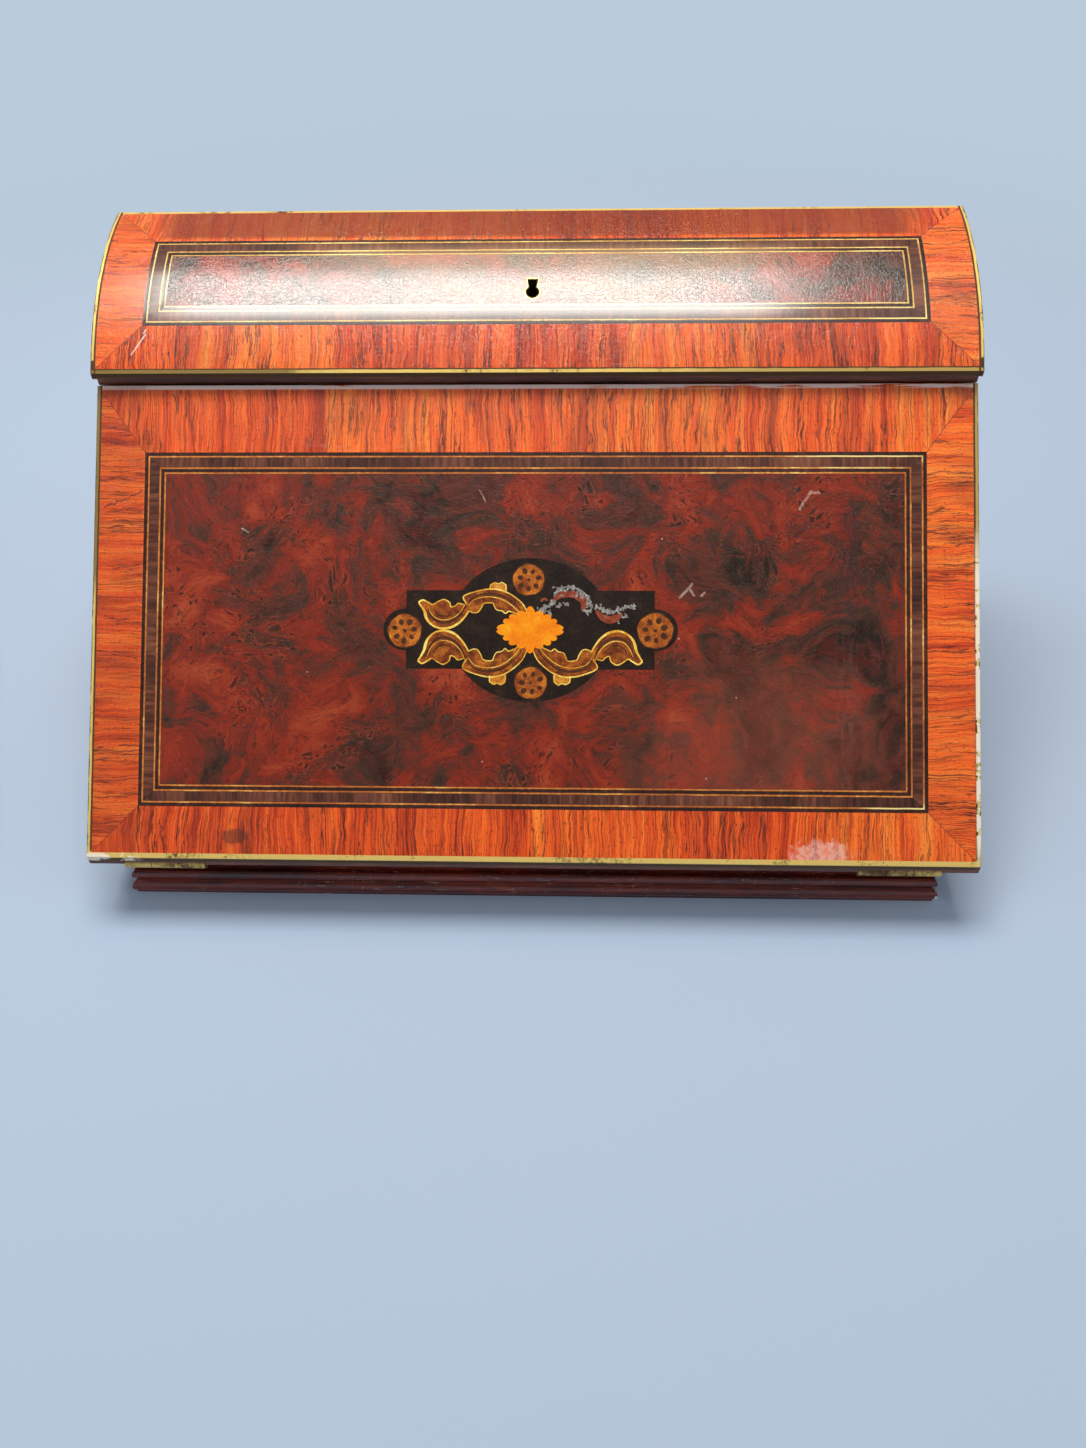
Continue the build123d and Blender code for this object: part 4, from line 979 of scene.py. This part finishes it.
def inlay_finish(name, tones, scale, polish=0.6, engraving=0.0):
    """Inlaid wood or brass with engraved hatching."""
    f = Finish(name, coat=polish, coat_roughness=0.13, shine=0.12)
    across, along, out = f.slope()
    flat = f.combine(across, along, 0)
    patch = f.noise(flat, scale, 4, 0.6)
    fine = f.noise(flat, scale * 7, 3, 0.6)
    colour = f.ramp(f.add(f.mul(patch, 0.65), f.mul(fine, 0.35)), *tones)
    height = fine
    if engraving:
        wave = f.noise(f.vec("MULTIPLY", flat, (1.0, 0.35, 1.0)), 2.2, 3, 0.6)
        cut = f.smooth(f.size(f.sub(wave, 0.5)), 0.0, 0.05, 1.0, 0.0)
        colour = f.mix(f.mul(cut, engraving), colour, (0.05, 0.018, 0.008))
        height = f.sub(fine, f.mul(cut, 0.8))
    f.set("Base Color", colour)
    f.set("Roughness", f.smooth(fine, 0.3, 0.7, 0.26, 0.46))
    f.set("Normal", f.bump(height, 0.06, 0.7))
    return f


ebony = inlay_finish(
    "ebony_ground",
    ((0.35, (0.008, 0.005, 0.004)), (0.55, (0.022, 0.012, 0.008)), (0.75, (0.055, 0.026, 0.014))),
    0.12,
)
scroll_wood = inlay_finish(
    "scroll_wood",
    ((0.34, (0.06, 0.010, 0.003)), (0.47, (0.22, 0.042, 0.006)), (0.57, (0.46, 0.115, 0.010)),
     (0.68, (0.78, 0.28, 0.024))),
    0.22, 0.6, 0.45,
)
scroll_leaf = inlay_finish(
    "scroll_leaf",
    ((0.34, (0.36, 0.095, 0.010)), (0.48, (0.66, 0.22, 0.020)), (0.62, (0.88, 0.44, 0.060))),
    0.25, 0.6, 0.35,
)
scroll_line = inlay_finish(
    "scroll_line",
    ((0.34, (0.46, 0.155, 0.014)), (0.48, (0.84, 0.42, 0.040)), (0.60, (0.98, 0.82, 0.20))),
    0.12,
)
scroll_dark = inlay_finish(
    "scroll_dark",
    ((0.35, (0.040, 0.014, 0.006)), (0.55, (0.085, 0.028, 0.010)), (0.75, (0.16, 0.055, 0.016))),
    0.3,
)
medallion_wood = inlay_finish(
    "medallion_wood",
    ((0.34, (0.86, 0.17, 0.004)), (0.5, (0.94, 0.26, 0.005)), (0.64, (0.96, 0.40, 0.010))),
    0.13,
)
roundel_wood = inlay_finish(
    "roundel_wood",
    ((0.36, (0.16, 0.030, 0.006)), (0.47, (0.36, 0.080, 0.010)), (0.58, (0.66, 0.190, 0.016)),
     (0.68, (0.9, 0.38, 0.03))),
    0.16, 0.6, 0.25,
)
residue = inlay_finish(
    "glue_residue",
    ((0.35, (0.08, 0.070, 0.062)), (0.50, (0.24, 0.215, 0.195)), (0.66, (0.66, 0.62, 0.57))),
    1.1, 0.0,
)
bare_wood = inlay_finish(
    "bare_wood",
    ((0.35, (0.14, 0.024, 0.012)), (0.52, (0.28, 0.055, 0.026)), (0.68, (0.44, 0.15, 0.08))),
    0.5, 0.3,
)

layer = 0.02
ground_mesh = bmesh.new()
add_plate(ground_mesh, ground_outline(), -0.8, layer)
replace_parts(finished("cartouche_ground", ground_mesh, ebony), "flap_cartouche_ground")

bands, leaves, lines, darks, fragments, flakes = (bmesh.new() for _ in range(6))
chance = random.Random(7)
for x_sign, y_scale in ((1, 1.0), (-1, 1.0), (-1, -0.86)):
    def put(points):
        return mirrored(points, x_sign, y_scale)

    volute = smooth_line(put(VOLUTE_BACK + VOLUTE_LEAVES), 5, True)
    bow = smooth_line(put(BOW_UNDER + BOW_LEAVES), 5, True)
    add_plate(bands, volute, -0.2, 2 * layer)
    add_plate(bands, bow, -0.2, 2.2 * layer)
    add_plate(leaves, smooth_line(put(BUMP), 5, True), -0.2, 2.1 * layer)
    back = smooth_line(put(VOLUTE_BACK), 8)
    under = smooth_line(put([(25.6, -12.0)] + BOW_UNDER), 8)
    top = smooth_line(put([BOW_UNDER[-1]] + BOW_LEAVES), 6)
    leaf_edge = smooth_line(put([VOLUTE_BACK[-1]] + VOLUTE_LEAVES), 6)
    add_plate(lines, ribbon(back, (0.5, 0.8, 1.0, 0.9, 0.7, 1.2, 0.5)), -0.1, 3 * layer)
    add_plate(lines, ribbon(under, (0.5, 0.55, 0.6, 0.5, 0.45, 0.4)), -0.1, 3.1 * layer)
    add_plate(lines, ribbon(top, (0.35, 0.5, 0.35, 0.5, 0.4)), -0.1, 3.2 * layer)
    add_plate(lines, ribbon(leaf_edge, (0.8, 0.45, 0.5, 0.35)), -0.1, 3.3 * layer)
    add_plate(darks, ribbon(smooth_line(put(VOLUTE_INNER), 6), (0.5, 1.0, 1.2, 0.9, 0.3)), -0.1, 2.6 * layer)
    add_plate(darks, ribbon(smooth_line(put(BOW_INNER), 6), (0.4, 0.8, 1.1, 1.0, 0.5, 0.3)), -0.1,
              2.7 * layer)
    add_plate(darks, ribbon(smooth_line(put(VOLUTE_EYE), 6), (0.2, 0.6, 0.6, 0.2)), -0.1, 2.6 * layer)
    inner_light = [(x * 0.97 + 0.7, y * 0.97 + 0.9) for x, y in BOW_INNER]
    add_plate(lines, ribbon(smooth_line(put(inner_light), 6), (0.2, 0.32, 0.35, 0.25)), -0.1, 2.9 * layer)
    inner_arc = [(x * 0.985 + 0.5, y - 1.2) for x, y in VOLUTE_INNER]
    add_plate(lines, ribbon(smooth_line(put(inner_arc), 6), (0.2, 0.35, 0.3, 0.2)), -0.1, 2.9 * layer)
    for k in range(len(BUMP) - 1):
        pair = put([BUMP[k], BUMP[k + 1]])
        add_plate(lines, ribbon(smooth_line(pair, 3), (0.4, 0.4)), -0.1, (3.0 + 0.05 * k) * layer)

# The upper right scroll has broken away: bare wood and grey glue are left
for points, widths in (
    ([(9.5, 12.2), (12.4, 14.2), (16.4, 14.6), (19.6, 13.6), (21.8, 11.0), (21.2, 8.2)],
     (1.0, 2.8, 2.6, 3.2, 2.8, 1.2)),
    ([(26.6, 8.0), (29.0, 5.4), (32.0, 4.2), (35.0, 5.0), (37.0, 7.0)], (0.8, 2.6, 3.2, 2.8, 1.0)),
    ([(4.2, 11.6), (5.6, 12.6), (7.0, 12.0)], (0.6, 1.2, 0.6)),
):
    add_plate(fragments, ribbon(smooth_line(points, 6), widths), -0.1, 2.4 * layer)
FLAKE_SPOTS = [(4.2, 8.6), (5.6, 9.6), (6.2, 7.2), (8.0, 7.4), (7.6, 10.2), (9.4, 11.4), (11.2, 17.2),
               (11.8, 15.4),
               (13.6, 16.6), (16.4, 16.6), (19.0, 15.6), (21.2, 14.2), (22.8, 12.6), (23.8, 10.4),
               (24.6, 8.4), (22.6, 7.6),
               (27.4, 9.4), (29.6, 7.8), (31.8, 7.0), (34.2, 7.6), (36.6, 8.8), (38.8, 9.6), (40.6, 9.0),
               (38.2, 6.2),
               (36.6, 4.2), (12.0, 10.2), (15.0, 10.8)]
for crust in (
    [(3.4, 7.2), (5.4, 9.2), (8.2, 9.8), (9.8, 12.2), (10.6, 14.8), (13.0, 17.0), (16.4, 17.4)],
    [(15.6, 17.2), (19.2, 16.6), (22.0, 14.4), (23.8, 11.4), (24.6, 8.6), (23.6, 6.6)],
    [(27.0, 9.8), (29.8, 8.4), (33.0, 7.8), (36.2, 8.8), (39.4, 9.4), (42.4, 9.0)],
):
    run = smooth_line([(x + chance.gauss(0, 0.3), y + chance.gauss(0, 0.3)) for x, y in crust], 9)
    widths = [chance.choice((0.3, 0.7, 1.2, 2.0)) * chance.uniform(0.7, 1.3) for _ in run]
    add_plate(flakes, ribbon(run, widths), -0.1, 2.3 * layer)
for cx, cy in FLAKE_SPOTS:
    for _ in range(3):
        x = cx + chance.gauss(0, 0.8)
        y = cy + chance.gauss(0, 0.6)
        radius = chance.uniform(0.3, 1.2)
        turn = chance.uniform(0, math.pi)
        outline = []
        for k in range(9):
            angle = 2 * math.pi * k / 9
            reach = radius * chance.uniform(0.55, 1.25)
            a, b = reach * math.cos(angle), 0.55 * reach * math.sin(angle)
            outline.append((x + a * math.cos(turn) - b * math.sin(turn),
                            y + a * math.sin(turn) + b * math.cos(turn)))
        add_plate(flakes, outline, -0.1, (2.4 + chance.uniform(0, 0.8)) * layer)

medallion_mesh = bmesh.new()
add_plate(medallion_mesh, scallops(10.9, 6.6, 18, 1.5), -0.2, 3.4 * layer)
roundel_mesh = bmesh.new()
for cx, cy, radius in ((-51.0, -0.6, 6.9), (50.6, -0.2, 7.3), (-0.7, 20.4, 6.5), (0.4, -21.6, 6.6)):
    rim = []
    for k in range(72):
        angle = 2 * math.pi * k / 72
        reach = radius * (1 + 0.02 * math.sin(5 * angle + cx) + 0.012 * math.sin(11 * angle + cy))
        rim.append((cx + reach * math.cos(angle), cy + reach * math.sin(angle)))
    add_plate(roundel_mesh, rim, -0.2, 2 * layer)
    add_plate(darks, ribbon(rim + rim[:1], (0.35, 0.5, 0.3, 0.45, 0.35)), -0.1, 2.6 * layer)
    for k in range(8):
        angle = 2 * math.pi * k / 7 + cx
        reach = 0.0 if k == 7 else radius * chance.uniform(0.52, 0.64)
        spot = []
        size = radius * chance.uniform(0.14, 0.19) * (0.6 if k == 7 else 1.0)
        for j in range(16):
            around = 2 * math.pi * j / 16
            a = size * 1.10 * math.cos(around)
            b = size * 0.90 * math.sin(around)
            px = reach + a
            spot.append((
                cx + px * math.cos(angle) - b * math.sin(angle),
                cy + px * math.sin(angle) + b * math.cos(angle),
            ))
        add_plate(darks, spot, -0.1, 2.8 * layer)

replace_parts(finished("cartouche_scrolls", bands, scroll_wood), "flap_cartouche_inlay")
finished("cartouche_leaves", leaves, scroll_leaf)
finished("cartouche_lines", lines, scroll_line)
finished("cartouche_engraving", darks, scroll_dark)
finished("cartouche_medallion", medallion_mesh, medallion_wood)
finished("cartouche_roundels", roundel_mesh, roundel_wood)
finished("cartouche_bare_wood", fragments, bare_wood)
finished("cartouche_residue", flakes, residue)

# Dried ink at the bottom of each inkwell
for side in ("left", "right"):
    low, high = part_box(f"inkwell_glass_{side}")
    centre = (low + high) / 2
    pool = bmesh.new()
    rings = []
    for radius, up in ((11.9, 7.6), (11.3, 7.2), (8.0, 7.0), (3.0, 6.95)):
        points = []
        for k in range(48):
            angle = 2 * math.pi * k / 48
            points.append(pool.verts.new((
                centre.x + radius * MM * math.cos(angle), centre.y + radius * MM * math.sin(angle),
                low.z + up * MM,
            )))
        rings.append(points)
    bed = [pool.verts.new((v.co.x, v.co.y, low.z + 5.05 * MM)) for v in rings[0]]
    for a, b in zip([bed] + rings, rings):
        for k in range(48):
            pool.faces.new([a[k], a[(k + 1) % 48], b[(k + 1) % 48], b[k]])
    pool.faces.new(rings[-1])
    pool.faces.new(bed[::-1])
    bmesh.ops.recalc_face_normals(pool, faces=pool.faces)
    finished(f"ink_{side}", pool, ink(), "case")


# Floor, light and camera

PALE = (0.489, 0.596, 0.710)
FLOOR_TONE = (0.400, 0.496, 0.640)


def make_floor():
    data = bpy.data.meshes.new("floor")
    reach = 12.0
    data.from_pydata([(-reach, -reach, 0), (reach, -reach, 0), (reach, reach, 0), (-reach, reach, 0)], [],
                     [(0, 1, 2, 3)])
    floor = bpy.data.objects.new("floor", data)
    bpy.context.scene.collection.objects.link(floor)
    f = Finish("floor")
    tree = f.tree
    f.set("Base Color", FLOOR_TONE)
    f.set("Roughness", 0.9)
    f.set("Specular IOR Level", 0.1)
    glow = f.node("ShaderNodeEmission")
    f.put(glow.inputs["Color"], PALE)
    blend = f.node("ShaderNodeMixShader")
    distance = f.vec("LENGTH", f.place())
    far = f.smooth(distance, 330, 900)
    ray = f.node("ShaderNodeLightPath").outputs
    seen = f.several([ray[kind] for kind in ("Is Camera Ray", "Is Glossy Ray", "Is Transmission Ray")])
    f.put(blend.inputs[0], f.mul(far, seen))
    tree.links.new(f.shader.outputs[0], blend.inputs[1])
    tree.links.new(glow.outputs[0], blend.inputs[2])
    tree.links.new(blend.outputs[0], f.output.inputs[0])
    data.materials.append(f.material)


ROOM_TONES = (
    (0.00, PALE),
    (0.20, PALE),
    (0.50, (0.15, 0.155, 0.165)),
    (0.82, (0.15, 0.155, 0.165)),
    (0.98, (0.56, 0.56, 0.55)),
)


def make_world():
    """Pale backdrop all round, darker above it, with a lighter ceiling overhead."""
    world = bpy.data.worlds.new("studio")
    bpy.context.scene.world = world
    world.use_nodes = True
    tree = world.node_tree
    tree.nodes.clear()

    def node(kind):
        return tree.nodes.new(kind)

    output = node("ShaderNodeOutputWorld")
    room = node("ShaderNodeBackground")
    direction = node("ShaderNodeTexCoord")
    parts = node("ShaderNodeSeparateXYZ")
    tree.links.new(direction.outputs["Generated"], parts.inputs[0])
    walls = node("ShaderNodeValToRGB")
    walls.color_ramp.interpolation = "EASE"
    elements = walls.color_ramp.elements
    while len(elements) < len(ROOM_TONES):
        elements.new(0.5)
    for element, (height, colour) in zip(elements, ROOM_TONES):
        element.position = height
        element.color = (*colour, 1.0)
    tree.links.new(parts.outputs[2], walls.inputs[0])
    tree.links.new(walls.outputs[0], room.inputs[0])
    tree.links.new(room.outputs[0], output.inputs[0])


def make_lamp(name, place, target, size, radiance, colour=(1, 1, 1)):
    """A soft box aimed at a point, as bright as the radiance given."""
    light = bpy.data.lights.new(name, "AREA")
    light.shape = "RECTANGLE"
    light.size, light.size_y = size
    light.energy = radiance * math.pi * size[0] * size[1]
    light.color = colour
    lamp = bpy.data.objects.new(name, light)
    bpy.context.scene.collection.objects.link(lamp)
    back = (Vector(place) - Vector(target)).normalized()
    side = (Vector((1, 0, 0)) - back * back.x).normalized()
    turn = Matrix((side, back.cross(side), back)).transposed().to_4x4()
    lamp.matrix_world = Matrix.Translation(place) @ turn
    return lamp


def make_camera():
    """The photograph's view: 47 degrees down, with a slight turn and tilt."""
    pitch, turn, tilt = math.radians(47.0), math.radians(1.83), math.radians(0.40)
    across = Vector((1, 0, 0))
    down = Vector((0, -math.sin(pitch), -math.cos(pitch)))
    ahead = Vector((0, math.cos(pitch), -math.sin(pitch)))
    turned = across * math.cos(turn) + ahead * math.sin(turn)
    right = turned * math.cos(tilt) - down * math.sin(tilt)
    low = turned * math.sin(tilt) + down * math.cos(tilt)
    forward = ahead * math.cos(turn) - across * math.sin(turn)
    data = bpy.data.cameras.new("camera")
    data.sensor_width = SENSOR
    data.lens = SENSOR * FOCAL_PIXELS / PHOTO_HEIGHT
    data.clip_start, data.clip_end = 0.01, 100.0
    camera = bpy.data.objects.new("camera", data)
    bpy.context.scene.collection.objects.link(camera)
    place = Vector((0, -CAMERA_FRONT - MIDDLE_BACK, CAMERA_UP + ARRIS_UP)) + right * CAMERA_RIGHT
    turned_axes = Matrix((right, -low, -forward)).transposed()
    camera.matrix_world = Matrix.Translation(place * MM) @ turned_axes.to_4x4()
    bpy.context.scene.camera = camera


make_floor()
make_world()
make_lamp("overhead", (-0.15, 0.25, 1.45), (-0.15, 0.12, 0.1), (0.94, 0.48), 13.0, (1.0, 0.98, 0.92))
make_lamp("overhead_back", (-0.02, 0.64, 1.35), (-0.02, 0.05, 0.1), (0.70, 0.26), 4.5, (1.0, 0.66, 0.34))
make_lamp("left_soft", (-1.45, -0.40, 1.0), (0.0, 0.0, 0.1), (0.8, 0.8), 2.4)
make_lamp("right_soft", (1.45, -0.40, 1.0), (0.0, 0.0, 0.1), (0.8, 0.8), 2.6)
make_camera()
bpy.context.scene.view_settings.view_transform = "Standard"
